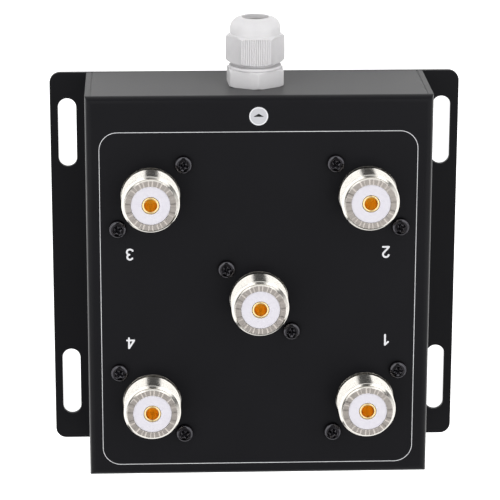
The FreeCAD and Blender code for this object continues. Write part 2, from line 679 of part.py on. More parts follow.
# ------------------------------------------------------------------ coaxial sockets
def make_sockets():
    """Nickelled shell, white insulator and slit contact, in the frame of the panel's face."""
    shell = new_body("shell_pattern")
    flange = new_sketch(shell, "flange_outline", offset="-sheet_thick - flange_thick")
    half = "flange_wide / 2"
    draw_rectangle(flange, "-" + half, half, "-" + half, half)
    extrude(shell, "Pad", flange, "flange_thick")
    neck = new_sketch(shell, "neck_outline", offset="-sheet_thick")
    draw_circle(neck, "neck_dia")
    extrude(shell, "Pad", neck, "sheet_thick")
    barrel = new_sketch(shell, "barrel_outline")
    draw_circle(barrel, "thread_dia")
    extrude(shell, "Pad", barrel, "port_rise")
    bore = new_sketch(shell, "barrel_bore", offset="port_rise")
    draw_circle(bore, "shell_bore")
    extrude(shell, "Pocket", bore, "sheet_thick + port_rise")
    rear = new_sketch(shell, "flange_bores", offset="-sheet_thick")
    draw_circle(rear, "boss_hole")
    for a in SIGNS:
        for b in SIGNS:
            draw_circle(rear, "flange_hole", f"{a}flange_pitch / 2", f"{b}flange_pitch / 2")
    extrude(shell, "Pocket", rear, "flange_thick")

    front = rod("insulator_front", "shell_bore - 2 * slip_fit",
                "sheet_thick + port_rise - insulator_recess", up="-sheet_thick")
    boss = rod("insulator_boss", "boss_hole - 2 * slip_fit",
               "flange_thick + boss_long", up="-sheet_thick - flange_thick - boss_long")
    mouth = rod("insulator_mouth", "insulator_hole", "contact_deep + 3", up="contact_foot")
    tail_bore = rod("insulator_tail", "tail_dia + 2 * slip_fit", "contact_deep + 9",
                    up="-sheet_thick - flange_thick - boss_long - 1")
    insulator = cut("insulator_pattern", fuse("insulator_solid", front, boss), mouth, tail_bore)

    sleeve = rod("contact_sleeve", "contact_dia", "contact_deep + contact_floor", up="contact_foot")
    tail = rod("contact_tail", "tail_dia", "contact_foot - tail_end", up="tail_end")
    hole = rod("contact_hole", "contact_bore", "contact_deep + 1", up="contact_top - contact_deep")
    slit_low = "contact_top - contact_slit_deep"
    slit_x = box("contact_slit_x", "contact_dia + 1", "contact_slit", "contact_slit_deep + 1", up=slit_low)
    slit_y = box("contact_slit_y", "contact_slit", "contact_dia + 1", "contact_slit_deep + 1", up=slit_low)
    contact = cut("contact_pattern", fuse("contact_solid", sleeve, tail), hole, slit_x, slit_y)

    for port, (across, along, _) in PORTS.items():
        prefix = "common_port" if port == "common" else port
        node(f"{prefix}_shell", copy(shell, across, along, "panel_top"))
        node(f"{prefix}_insulator", copy(insulator, across, along, "panel_top"))
        node(f"{prefix}_contact", copy(contact, across, along, "panel_top"))


# ------------------------------------------------------------------ screws, nuts and spacers
def cross_recess(name, top):
    """Two crossing blocks that cut a cross recess down from a height."""
    low = f"{top} - recess_deep"
    one = box(name + "_arm_x", "recess_long", "recess_wide", "recess_deep + 1", up=low)
    two = box(name + "_arm_y", "recess_wide", "recess_long", "recess_deep + 1", up=low)
    return one, two


def pan_head_screw(name, long):
    """Pan head screw with a cross recess; its head stands on Z = 0."""
    head = rod(name + "_head", "head_dia", "head_tall")
    rounded = round_edges(name + "_rounded", head, mm("head_round"), level(mm("head_tall")))
    shank = rod(name + "_shank", "screw_dia", long, up=f"-{long}")
    solid = fuse(name + "_solid", rounded, shank)
    return cut(name, solid, *cross_recess(name, "head_tall"))


def make_fasteners():
    socket_screw = pan_head_screw("socket_screw", "socket_screw_long")
    node("socket_screws", *[copy(socket_screw, a, b, "panel_top") for a, b in SOCKET_SCREW_SPOTS])

    tapped = "screw_dia + 2 * thread_fit"
    nut_hex = hexagon("nut_hex", "nut_across", "nut_tall")
    nut = cut("nut_pattern", nut_hex, rod("nut_bore", tapped, "nut_tall + 2", up="-1"))
    node("socket_nuts", *[copy(nut, a, b, "flange_back - nut_tall") for a, b in NUT_SPOTS])

    spacer_hex = hexagon("spacer_hex", "nut_across", "spacer_tall")
    spacer = cut("spacer_pattern", spacer_hex, rod("spacer_bore", tapped, "spacer_tall + 2", up="-1"))
    node("board_spacers", *[copy(spacer, a, b, "board_front") for a, b in SPACER_SPOTS])

    board_screw = pan_head_screw("board_screw", "board_screw_long")
    node("board_screws", *[copy(board_screw, a, b, "board_back", FLIP_X) for a, b in SPACER_SPOTS])

    flat_head = cone("flat_head", "cover_head", "cover_screw", "(cover_head - cover_screw) / 2")
    flat_shank = rod("flat_shank", "cover_screw", "cover_screw_long")
    arms = (
        box("flat_arm_x", "recess_long", "recess_wide", "recess_deep + 1", up="-1"),
        box("flat_arm_y", "recess_wide", "recess_long", "recess_deep + 1", up="-1"),
    )
    flat_screw = cut("flat_screw", fuse("flat_screw_solid", flat_head, flat_shank), *arms)
    node("cover_screws", *[copy(flat_screw, a, b, "slip_fit") for a, b in COVER_SCREW_SPOTS])

    flange = rod("clinch_flange_disc", "clinch_flange", "clinch_tall", up="sheet_thick")
    spigot = rod("clinch_spigot_disc", "clinch_spigot", "sheet_thick")
    bore = rod("clinch_bore", "cover_screw + 2 * thread_fit", "clinch_tall + sheet_thick + 2", up="-1")
    clinch = cut("clinch_pattern", fuse("clinch_solid", flange, spigot), bore)
    node("clinch_nuts", *[copy(clinch, a, b, "plate_thick") for a, b in COVER_SCREW_SPOTS])


# ------------------------------------------------------------------ circuit board
def make_board():
    body = new_body("circuit_board")
    outline = new_sketch(body, "board_outline", offset="board_back")
    draw_rectangle(outline, "board_far", "board_end", "-board_side", "board_side")
    extrude(body, "Pad", outline, "board_thick")
    dress(body, "Fillet", "Radius", "board_corner", upright(mm("board_thick")))
    holes = new_sketch(body, "board_holes", offset="board_back")
    for across, along, _ in PORTS.values():
        draw_circle(holes, "tail_hole", across, along)
    for across, along in SPACER_SPOTS:
        draw_circle(holes, "screw_hole", across, along)
    for number in RELAYS:
        for across, along in RELAY_PINS:
            draw_circle(holes, "pin_hole", *relay_spot(number, across, along))
    for along in POLES:
        draw_circle(holes, "pin_hole", "terminal_x", along)
    extrude(body, "Pocket", holes, "board_thick", reverse=True)
    NODES.append(body)


# ------------------------------------------------------------------ relays
def pin(name, across, along, top):
    """A round pin from past the board up to a height."""
    low = "-board_thick - pin_proud"
    return rod(name, "pin_dia", f"{top} - ({low})", across, along, low)


def fixed_contact(name, side, arm_height, stud_low, stud_tall):
    """A blade with an arm that reaches over or under the moving contact."""
    wide = "blade_wide"
    middle = f"{side}blade_off"
    upright = box(name + "_upright", "blade_thick", wide, f"{arm_height} + blade_thick - base_thick",
                  "blade_x + blade_thick / 2", middle, "base_thick")
    reach = "blade_x + blade_thick - blade_back"
    arm = box(name + "_arm", reach, wide, "blade_thick", f"blade_back + ({reach}) / 2", middle, arm_height)
    tab = box(name + "_tab", "rivet_dia + 0.4", "blade_off * 2", "blade_thick",
              "rivet_x", f"{side}blade_off / 2", arm_height)
    stud = rod(name + "_stud", "rivet_dia", stud_tall, "rivet_x", "0", stud_low)
    leg = pin(name + "_leg", "blade_x + blade_thick / 2", middle, "base_thick")
    return fuse(name, upright, arm, tab, stud, leg)


def make_relays():
    """Sealed relays, each in its own frame: origin on the board, +Z away from the board."""
    base_block = box("base_block", "relay_long", "relay_wide", "base_thick")
    pin_holes = [
        rod(f"base_hole_{n}", "pin_dia + 2 * slip_fit", "base_thick + 2", across, along, "-1")
        for n, (across, along) in enumerate(RELAY_PINS)
    ]
    base = cut("base_pattern", base_block, *pin_holes)

    case_block = box("case_block", "relay_long", "relay_wide", "relay_tall - base_thick", up="base_thick")
    case_room = box("case_room", "relay_long - 2 * case_wall", "relay_wide - 2 * case_wall",
                    "relay_tall - base_thick - case_wall", up="base_thick")
    case = cut("case_pattern", case_block, case_room)

    foot_long = "yoke_back + yoke_foot_end"
    yoke_foot = box("yoke_foot", foot_long, "yoke_wide", "yoke_thick",
                    f"({foot_long}) / 2 - yoke_back", "0", "base_thick")
    yoke_upright = box("yoke_upright", "yoke_thick", "yoke_wide", "yoke_tall - base_thick",
                       "pivot_x", "0", "base_thick")
    yoke = fuse("yoke_pattern", yoke_foot, yoke_upright, pin("yoke_pin", "pivot_x", "0", "base_thick"))

    core_low = "base_thick + yoke_thick"
    pole_low = "yoke_tall - pole_thick"
    core_rod = rod("core_rod", "core_dia", f"{pole_low} - ({core_low})", "coil_x", "0", core_low)
    pole = rod("pole_face", "pole_dia", "pole_thick", "coil_x", "0", pole_low)
    core = fuse("core_pattern", core_rod, pole)

    cheek_low = f"{core_low} + coil_room"
    cheek_high = f"{pole_low} - coil_room - cheek_thick"
    lower = box("lower_cheek", "bobbin_wide", "bobbin_wide", "cheek_thick", "coil_x", "0", cheek_low)
    upper = box("upper_cheek", "bobbin_wide", "bobbin_wide", "cheek_thick", "coil_x", "0", cheek_high)
    former = rod("former", "bobbin_tube", f"{cheek_high} - ({cheek_low})", "coil_x", "0", cheek_low)
    core_room = rod("core_room", "core_dia + 2 * coil_room", "yoke_tall", "coil_x", "0", core_low)
    bobbin = cut("bobbin_pattern", fuse("bobbin_solid", lower, upper, former), core_room)

    turns_low = f"{cheek_low} + cheek_thick + coil_room"
    turns_tall = f"{cheek_high} - coil_room - ({turns_low})"
    turns = rod("turns", "winding_dia", turns_tall, "coil_x", "0", turns_low)
    turns_room = rod("turns_room", "bobbin_tube + 2 * coil_room", "yoke_tall", "coil_x", "0", core_low)
    winding = cut("winding_pattern", turns, turns_room)

    coil_pins = [
        pin("coil_pin_a", "coil_pin_x", "coil_pin_y", "coil_pin_top"),
        pin("coil_pin_b", "coil_pin_x", "-coil_pin_y", "coil_pin_top"),
    ]
    made_height = "yoke_tall + armature_room + armature_thick - rivet_under - contact_room"
    opened = fixed_contact("open_contact_pattern", "-", f"{made_height} - open_stud - blade_thick",
                           f"{made_height} - open_stud", "open_stud")
    closed = fixed_contact("closed_contact_pattern", "", "closed_height + closed_stud",
                           "closed_height", "closed_stud")

    # Armature and leaf are drawn pulled in, with the hinge line as origin; at rest they stand
    # tilted away from the pole by the whole swing.
    plate_long = "armature_front + yoke_back"
    plate_mid = f"({plate_long}) / 2 - yoke_back - pivot_x"
    armature = box("armature_pattern", plate_long, "yoke_wide", "armature_thick",
                   plate_mid, "0", "armature_room / 2")
    leaf_low = "armature_room / 2 + armature_thick"
    leaf_strip = box("leaf_strip", "leaf_front - leaf_back", "leaf_wide", "leaf_thick",
                     "(leaf_front + leaf_back) / 2 - pivot_x", "0", leaf_low)
    rivet = rod("moving_rivet", "rivet_dia", "rivet_under + leaf_thick + rivet_over",
                "rivet_x - pivot_x", "0", f"{leaf_low} - rivet_under")
    leaf = fuse("leaf_pattern", leaf_strip, rivet)

    patterns = {
        "relay_bases": [base],
        "relay_cases": [case],
        "relay_yokes": [yoke],
        "relay_cores": [core],
        "relay_bobbins": [bobbin],
        "relay_windings": [winding],
        "relay_coil_pins": coil_pins,
        "relay_open_contacts": [opened],
        "relay_closed_contacts": [closed],
    }
    for label, pieces in patterns.items():
        node(label, *[
            copy(piece, across, along, "board_back", turn)
            for across, along, turn in RELAYS.values() for piece in pieces
        ])
    tilt = Rotation(Vector(0, 1, 0), -mm("armature_swing"))
    for number, (_, _, turn) in RELAYS.items():
        hinge = relay_spot(number, "pivot_x", "0")
        height = "board_back - pivot_height"
        node(f"relay_armature_{number}", copy(armature, *hinge, height, turn.multiply(tilt)))
        node(f"contact_spring_{number}", copy(leaf, *hinge, height, turn.multiply(tilt)))


# ------------------------------------------------------------------ small parts on the board
def make_board_parts():
    body = box("diode_body", "diode_long", "diode_wide", "diode_tall")
    tabs = box("diode_tabs", "diode_long + 2 * diode_tab", "diode_wide / 2", "diode_tall / 4")
    diode = fuse("diode_pattern", body, tabs)
    spots = [(a, f"{side}diode_y") for (a, _, _), side in zip(RELAYS.values(), ("-", "-", "", ""))]
    node("diodes", *[copy(diode, a, b, "board_back", FLIP_X) for a, b in spots])

    chip = box("chip_pattern", "chip_long", "chip_wide", "chip_tall")
    node("capacitors", *[copy(chip, "chip_x", b, "board_front") for b in POLES])

    block = box("terminal_block", "terminal_deep", f"{len(POLES)} * pole_pitch", "terminal_tall")
    cuts = []
    clamp_x = "terminal_deep / 2 - wire_mouth_deep + clamp_deep / 2 + slip_fit"
    clamp_low = "wire_mouth_low + slip_fit"
    for n, along in enumerate(POLES):
        cuts.append(box(f"wire_mouth_{n}", "wire_mouth_deep + 1", "wire_mouth", "wire_mouth_tall",
                        "terminal_deep / 2 + 0.5 - wire_mouth_deep / 2", along, "wire_mouth_low"))
        cuts.append(rod(f"well_{n}", "terminal_well", "terminal_tall", clamp_x, along,
                        "wire_mouth_low + wire_mouth_tall - 0.5"))
        cuts.append(rod(f"clamp_pin_hole_{n}", "pin_dia + 2 * slip_fit", "wire_mouth_low + 2",
                        "0", along, "-1"))
    housing = cut("housing_pattern", block, *cuts)

    frame = box("clamp_frame", "clamp_deep", "clamp_wide", "clamp_tall", clamp_x, "0", clamp_low)
    window = box("clamp_window", "clamp_deep + 1", "clamp_wide - 2 * clamp_wall",
                 "clamp_tall - 2 * clamp_wall", clamp_x, "0", f"{clamp_low} + clamp_wall")
    tapped = rod("clamp_tapped", "terminal_tip + 2 * thread_fit", "clamp_wall + 2",
                 clamp_x, "0", f"{clamp_low} + clamp_tall - clamp_wall - 1")
    foot = pin("clamp_pin", "0", "0", clamp_low)
    clamp = fuse("clamp_pattern", cut("clamp_cage", frame, window, tapped), foot)

    head_low = f"{clamp_low} + clamp_tall + 0.3"
    head = rod("terminal_head", "terminal_screw", "terminal_screw_tall", clamp_x, "0", head_low)
    tip = rod("terminal_thread", "terminal_tip", "terminal_tip_long + 0.3", clamp_x, "0",
              f"{head_low} - terminal_tip_long")
    groove = box("terminal_groove", "terminal_screw + 1", "0.6", "1.8", clamp_x, "0",
                 f"{head_low} + terminal_screw_tall - 0.8")
    screw = cut("terminal_screw_pattern", fuse("terminal_screw_solid", head, tip), groove)

    node("terminal_housing", copy(housing, "terminal_x", "0", "board_back", FLIP_X))
    node("terminal_clamps", *[copy(clamp, "terminal_x", b, "board_back", FLIP_X) for b in POLES])
    node("terminal_screws", *[copy(screw, "terminal_x", b, "board_back", FLIP_X) for b in POLES])


# ------------------------------------------------------------------ cable gland
def chamfered_hexagon(name, across_flats, tall, up, turn):
    """A hexagonal bar whose corners are turned off at both ends."""
    bar = hexagon(name + "_bar", across_flats, tall, up, turn)
    blank = rod(name + "_blank", f"({across_flats}) / cos(30)", tall, up=up)
    DOC.recompute()
    circles = lambda edge: edge.BoundBox.ZLength < 1e-4
    turned = round_edges(name + "_turned", blank, mm("hex_chamfer"), circles, chamfer=True)
    return common(name, bar, turned)


def make_gland():
    """Nylon cable gland in its own frame: origin on the wall's outer face, +Z outwards."""
    corner_up = Rotation(Vector(0, 0, 1), mm("gland_hex_turn"))
    flat_up = Rotation(Vector(0, 0, 1), 30)
    hexagonal = chamfered_hexagon("gland_hexagon", "gland_hex", "gland_hex_tall", "0", corner_up)
    collar = rod("gland_collar", "collar_dia", "collar_tall", up="gland_hex_tall")
    threads = rod("gland_threads", "gland_thread", "thread_top + sheet_thick + gland_tail",
                  up="-sheet_thick - gland_tail")
    claws = cone("gland_claws", "claw_root", "claw_tip", "claw_top - thread_top", up="thread_top")
    solid = fuse("gland_solid", hexagonal, collar, threads, claws)
    bore = rod("gland_bore_rod", "gland_bore", "claw_top + sheet_thick + gland_tail + 2",
               up="-sheet_thick - gland_tail - 1")
    seat = tube("gland_gasket_seat", "gasket_seat", "gland_thread", "gasket_thick + 1", up="-1")
    slits = []
    for n in range(4):
        slit = box(f"claw_slit_{n}", "claw_root + 1", "claw_slit", "claw_slit_deep + 1")
        holder = copy(slit, up="claw_top - claw_slit_deep", turn=Rotation(Vector(0, 0, 1), 45 * n))
        slits.append(holder)
    # The seat's ring also reaches 1 mm below the wall's face, where the thread is left alone.
    seat_cut = cut("gland_seated", solid, seat)
    gland_body = cut("gland_body_pattern", seat_cut, bore, *slits)

    dome_hex = chamfered_hexagon("dome_hexagon", "dome_hex", "dome_hex_tall", "dome_low", flat_up)
    dome_rod = rod("dome_rod", "dome_dia", "dome_tall", up="dome_shoulder")
    dome = round_edges("dome_rounded", dome_rod, mm("dome_round"), level(mm("dome_top")))
    cone_low = "dome_top - mouth_lip - dome_cone_tall"
    thread_room = rod("dome_thread", "nut_thread", f"{cone_low} - dome_low + 1",
                      up="dome_low - 1")
    inner_cone = cone("dome_cone", "nut_thread", "dome_cone_end", "dome_cone_tall",
                      up=cone_low)
    mouth = rod("dome_mouth", "mouth_dia", "mouth_lip + 2", up="dome_top - mouth_lip - 1")
    dome_nut = cut("dome_nut_pattern", fuse("dome_solid", dome_hex, dome), thread_room, inner_cone, mouth)

    sleeve = rod("seal_sleeve", "seal_dia", "seal_top - seal_flange_tall - seal_low", up="seal_low")
    flange = rod("seal_flange_disc", "seal_flange", "seal_flange_tall", up="seal_top - seal_flange_tall")
    cable_hole = rod("seal_hole", "seal_bore", "dome_top", up="seal_low - 1")
    seal = cut("seal_pattern", fuse("seal_solid", sleeve, flange), cable_hole)

    locknut_hex = hexagon("locknut_hex", "locknut_across", "locknut_tall", up="-sheet_thick - locknut_tall",
                          turn=flat_up)
    locknut_bore = rod("locknut_bore", "nut_thread", "locknut_tall + 2",
                       up="-sheet_thick - locknut_tall - 1")
    locknut = cut("locknut_pattern", locknut_hex, locknut_bore)
    gasket = tube("gasket_pattern", "gasket_dia", "gland_thread + 2 * slip_fit", "gasket_thick")

    spot = ("half_long", "gland_side", "gland_rise", TO_WALL)
    node("gland_body", copy(gland_body, *spot))
    node("gland_gasket", copy(gasket, *spot))
    node("gland_locknut", copy(locknut, *spot))
    node("gland_seal", copy(seal, *spot))
    node("gland_dome_nut", copy(dome_nut, *spot))


# ------------------------------------------------------------------ checks and export
def check_and_export():
    DOC.recompute()
    for item in DOC.Objects:
        if "Invalid" in item.State or "Error" in item.State:
            raise RuntimeError(f"{item.Name} is {item.State}")
    for item in NODES:
        if item.Shape.isNull() or not item.Shape.isValid() or not item.Shape.Solids:
            raise RuntimeError(f"{item.Label} has no valid solid")
    os.makedirs("parts", exist_ok=True)
    for item in NODES:
        item.Shape.exportStep(f"parts/{item.Label}.step")
        print(f"{item.Label}: {len(item.Shape.Solids)} solids, {item.Shape.Volume:.1f} mm3")


make_back_plate()
make_cover()
make_sockets()
make_fasteners()
make_board()
make_relays()
make_board_parts()
make_gland()
check_and_export()
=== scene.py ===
"""Coaxial antenna switch: the finish of each piece, built around the fixed frame of its solids.

Sizes in the sections are millimetres; everything that is placed is in metres."""
import math

import bmesh
import bpy
from mathutils import Matrix, Vector


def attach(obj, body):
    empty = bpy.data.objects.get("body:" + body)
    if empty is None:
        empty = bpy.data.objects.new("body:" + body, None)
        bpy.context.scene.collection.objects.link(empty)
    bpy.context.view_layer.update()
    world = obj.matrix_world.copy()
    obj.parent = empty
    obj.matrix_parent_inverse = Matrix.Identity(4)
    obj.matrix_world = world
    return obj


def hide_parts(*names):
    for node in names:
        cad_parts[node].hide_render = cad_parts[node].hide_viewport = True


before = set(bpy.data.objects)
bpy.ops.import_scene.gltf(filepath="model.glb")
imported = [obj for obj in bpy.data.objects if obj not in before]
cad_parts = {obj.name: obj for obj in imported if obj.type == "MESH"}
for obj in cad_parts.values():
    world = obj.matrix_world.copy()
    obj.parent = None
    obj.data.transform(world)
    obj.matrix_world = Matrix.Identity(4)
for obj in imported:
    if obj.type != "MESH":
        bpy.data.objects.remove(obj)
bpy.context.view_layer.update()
MM = 0.001

# ---------------------------------------------------------------- studio
# The unit lies on its back plate on a white table, seen from above and from its gland side.
# Two long softboxes stand left and right on black flags; the ceiling between them is dark.
camera = bpy.data.objects.new("camera", bpy.data.cameras.new("camera"))
camera.matrix_world = Matrix((
    (0.002507, 0.958909, 0.283703, 0.21331),
    (-0.999116, -0.009505, 0.040958, 0.03172),
    (0.041971, -0.283555, 0.958037, 0.71470),
    (0.0, 0.0, 0.0, 1.0),
))
camera.data.lens = 185.02
camera.data.sensor_width = 36.0
camera.data.clip_start = 0.01
camera.data.clip_end = 30.0
bpy.context.scene.collection.objects.link(camera)
bpy.context.scene.camera = camera
bpy.context.scene.view_settings.view_transform = "Standard"


def colour(code):
    """An sRGB hex colour as the linear colour that a socket takes."""
    parts = [int(code[i:i + 2], 16) / 255 for i in (1, 3, 5)]
    return (*(p / 12.92 if p <= 0.04045 else ((p + 0.055) / 1.055) ** 2.4 for p in parts), 1.0)


def add(tree, kind, inputs=(), out=0, **settings):
    """Adds a node with its settings and gives one of its outputs. ShaderNode is left out of its kind. The
    inputs are numbers or other nodes' outputs, listed in order or by name."""
    node = tree.nodes.new(kind if "Node" in kind else "ShaderNode" + kind)
    for name, value in settings.items():
        setattr(node, name, value)
    for key, value in inputs.items() if isinstance(inputs, dict) else enumerate(inputs):
        if isinstance(value, bpy.types.NodeSocket):
            tree.links.new(value, node.inputs[key])
        else:
            node.inputs[key].default_value = value
    return node.outputs[out] if node.outputs else None


def new_finish(name):
    """A material, its emptied node tree, and the piece's own coordinates in metres to hang its pattern on."""
    made = bpy.data.materials.new(name)
    made.use_nodes = True
    made.node_tree.nodes.clear()
    return made, made.node_tree, add(made.node_tree, "TexCoord", out="Object")


# Matt white table top: pure white to the eye, also in the wall slots, and white in reflections.
table_white, tree, _ = new_finish("table_white")
paper = add(tree, "BsdfDiffuse", {"Color": colour("#e8e8e8")})
ray = tree.nodes.new("ShaderNodeLightPath")
seen = add(tree, "Math", [ray.outputs["Is Glossy Ray"], ray.outputs["Is Transmission Ray"]],
           operation="MAXIMUM")
seen = add(tree, "Math", [seen, 0.5], operation="MULTIPLY")
seen = add(tree, "Math", [seen, ray.outputs["Is Camera Ray"]], operation="MAXIMUM")
glow = add(tree, "Emission", {"Color": (1, 1, 1, 1), "Strength": seen})
lit = add(tree, "AddShader", [paper, glow])
under = add(tree, "NewGeometry", out="Backfacing")
clear = add(tree, "BsdfTransparent")
top_only = add(tree, "MixShader", [under, lit, clear])
add(tree, "OutputMaterial", {"Surface": top_only})

# The table lies a tenth of a millimetre under the back plate, so that the two faces never share a height.
TABLE_RADIUS = 5.0
TABLE_DROP = 0.0001
table_mesh = bpy.data.meshes.new("table_top")
table_made = bmesh.new()
bmesh.ops.create_circle(table_made, cap_ends=True, radius=TABLE_RADIUS, segments=96,
                        matrix=Matrix.Translation((0, 0, -TABLE_DROP)))
table_made.to_mesh(table_mesh)
table_made.free()
table_top = bpy.data.objects.new("table_top", table_mesh)
table_mesh.materials.append(table_white)
bpy.context.scene.collection.objects.link(table_top)

# The room is white low down and dark above, with a dim patch overhead. A black flag on each
# side hangs down almost to the table. To the eye it is plain white.
studio = bpy.data.worlds.new("studio")
studio.use_nodes = True
tree = studio.node_tree
tree.nodes.clear()
toward = add(tree, "TexCoord", out="Generated")
height = add(tree, "SeparateXYZ", {"Vector": toward}, out="Z")
sideways = add(tree, "VectorMath", [toward, (0, 1, 0)], out="Value", operation="DOT_PRODUCT")
sideways = add(tree, "Math", [sideways], operation="ABSOLUTE")
fades = {}
for name, reads, low, high, start, end in (
        ("wall", height, 0.33, 0.52, 1.0, 0.07), ("ceiling", height, 0.86, 0.93, 0.0, 0.7),
        ("flag", sideways, 0.42, 0.56, 0.0, 1.0), ("flag_foot", height, 0.07, 0.12, 0.0, 0.96)):
    fades[name] = add(tree, "MapRange",
                      {"Value": reads, "From Min": low, "From Max": high, "To Min": start, "To Max": end},
                      interpolation_type="SMOOTHSTEP")
room = add(tree, "Math", [fades["wall"], fades["ceiling"]], operation="MAXIMUM")
flag = add(tree, "Math", [fades["flag"], fades["flag_foot"]], operation="MULTIPLY")
bare = add(tree, "Math", [1.0, flag], operation="SUBTRACT")
room = add(tree, "Math", [room, bare], operation="MULTIPLY")
seen = add(tree, "LightPath", out="Is Camera Ray")
room = add(tree, "Math", [room, seen], operation="MAXIMUM")
backdrop = add(tree, "Background", {"Color": room, "Strength": 1.12})
add(tree, "OutputWorld", {"Surface": backdrop})
bpy.context.scene.world = studio

for side, name in ((1, "softbox_left"), (-1, "softbox_right")):
    softbox = bpy.data.objects.new(name, bpy.data.lights.new(name, "AREA"))
    softbox.data.shape = "RECTANGLE"
    softbox.data.size = 3.0
    softbox.data.size_y = 1.2
    softbox.data.energy = 17.5
    softbox.location = (0.3, side * 0.82, 0.80)
    softbox.rotation_euler = (side * -math.radians(44.0), 0.0, 0.0)
    bpy.context.scene.collection.objects.link(softbox)

# ---------------------------------------------------------------- cover
# The cover is 1.5 mm steel sheet, cut, pierced and folded into a box without a back, then powder coated.
# Its edges and bends carry the coat's own small radius, and a bead of coat bridges each corner seam.
HALF_LONG = 55.0
HALF_WIDE = 47.75
SHEET = 1.5
COAT_RADIUS = 0.15
BEAD = (0.8, 0.25, 28.8)
BEAD_HEIGHT = 16.0
BEAD_SUNK = 0.13
# The largest gap in metres between corners that are one, then the bends from which faces are no longer one
# flat face, an edge is shaded sharp, and an edge is eased.
SAME_POINT = 2e-6
BENT_FROM = math.radians(0.4)
SHARP_FROM = math.radians(35)
EASED_FROM = math.radians(40)


def show(name, mesh):
    """Puts a mesh in the scene as a piece of its own."""
    made = bpy.data.objects.new(name, mesh)
    bpy.context.scene.collection.objects.link(made)
    return made


def bake_shape(piece):
    """Turns a piece with live modifiers into a plain mesh."""
    bpy.context.view_layer.update()
    seen_by = bpy.context.evaluated_depsgraph_get()
    result = bpy.data.meshes.new_from_object(piece.evaluated_get(seen_by), depsgraph=seen_by)
    piece.modifiers.clear()
    piece.data = result
    return result


def plain_mesh(piece):
    """Turns a piece into a plain mesh, smooth but for sharp edges. The second pass leans the normals towards
    the large faces, so that these look flat up to an eased edge."""
    result = bake_shape(piece)
    result.polygons.foreach_set("use_smooth", [True] * len(result.polygons))
    result.set_sharp_from_angle(angle=SHARP_FROM)
    leaning = piece.modifiers.new("face_normals", "WEIGHTED_NORMAL")
    leaning.keep_sharp = True
    bake_shape(piece)
    return piece


def eased_copy(node, ease, keep=None):
    """A merged copy of a node's solid with whole flat faces and with its edges eased by so many mm. keep is a
    plane, as a point and a normal: what lies in front of it is cut off and the cut is closed."""
    mesh = bpy.data.meshes.new(node)
    made = bmesh.new()
    made.from_mesh(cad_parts[node].data)
    bmesh.ops.remove_doubles(made, verts=made.verts, dist=SAME_POINT)
    if keep:
        cut = bmesh.ops.bisect_plane(made, geom=made.verts[:] + made.edges[:] + made.faces[:],
                                     plane_co=keep[0], plane_no=keep[1], clear_outer=True)
        rim = [e for e in cut["geom_cut"] if isinstance(e, bmesh.types.BMEdge)]
        bmesh.ops.triangle_fill(made, use_beauty=True, edges=rim)
        bmesh.ops.recalc_face_normals(made, faces=made.faces[:])
    bmesh.ops.dissolve_limit(made, angle_limit=BENT_FROM, verts=made.verts[:], edges=made.edges[:])
    made.to_mesh(mesh)
    made.free()
    piece = show(node + "_finished", mesh)
    easing = piece.modifiers.new("ease", "BEVEL")
    easing.width = ease * MM
    easing.segments = 2
    easing.limit_method = "ANGLE"
    easing.angle_limit = EASED_FROM
    easing.use_clamp_overlap = False
    return plain_mesh(piece)


def coat_in_seams(piece):
    """Lays the bead that bridges each of the four open seams, sunk a little below the end wall's face."""
    made = bmesh.new()
    made.from_mesh(piece.data)
    for end in (1, -1):
        for side in (1, -1):
            x = end * (HALF_LONG - BEAD_SUNK - BEAD[0] / 2)
            y = side * (HALF_WIDE - SHEET - BEAD[1] / 2)
            middle = Vector((x, y, BEAD_HEIGHT)) * MM
            bmesh.ops.create_cube(made, size=1.0, matrix=Matrix.LocRotScale(middle, None, Vector(BEAD) * MM))
    made.to_mesh(piece.data)
    made.free()


def grained(name, grain, detail, dark, light, stretch=(1.0, 1.0, 1.0)):
    """A finish that drifts between two tones in a noise of so many mm, finer along an axis by its stretch.
    Gives the material, its tree, the place, the noise and the tone."""
    made, tree, place = new_finish(name)
    drawn = add(tree, "Mapping", {"Vector": place, "Scale": stretch})
    noise = add(tree, "TexNoise", {"Vector": drawn, "Scale": 1 / (grain * MM), "Detail": detail}, out="Fac")
    tone = add(tree, "Mix", {"Factor": noise, "A": colour(dark), "B": colour(light)},
               out="Result", data_type="RGBA")
    return made, tree, place, noise, tone


def end_finish(tree, inputs):
    """Ends a finish's tree with a surface that takes these inputs."""
    add(tree, "OutputMaterial", {"Surface": add(tree, "BsdfPrincipled", inputs)})


def even_finish(name, grain, detail, dark, light, rough, relief=None, stretch=(1.0, 1.0, 1.0), more=None):
    """A whole finish from one noise. It sets the tone, the roughness where that is a range, and the relief as
    a strength and a height in mm; more holds further inputs of the surface."""
    made, tree, _, noise, tone = grained(name, grain, detail, dark, light, stretch)
    if isinstance(rough, tuple):
        rough = add(tree, "MapRange", {"Value": noise, "To Min": rough[0], "To Max": rough[1]})
    inputs = {"Base Color": tone, "Roughness": rough, **(more or {})}
    if relief:
        inputs["Normal"] = add(tree, "Bump", {"Height": noise, "Strength": relief[0],
                                              "Distance": relief[1] * MM})
    end_finish(tree, inputs)
    return made


def hand_over(piece, material, body, node):
    """Gives a finished piece its material and the body it rides, and hides the node it stands for."""
    piece.data.materials.clear()
    piece.data.materials.append(material)
    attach(piece, body)
    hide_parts(node)
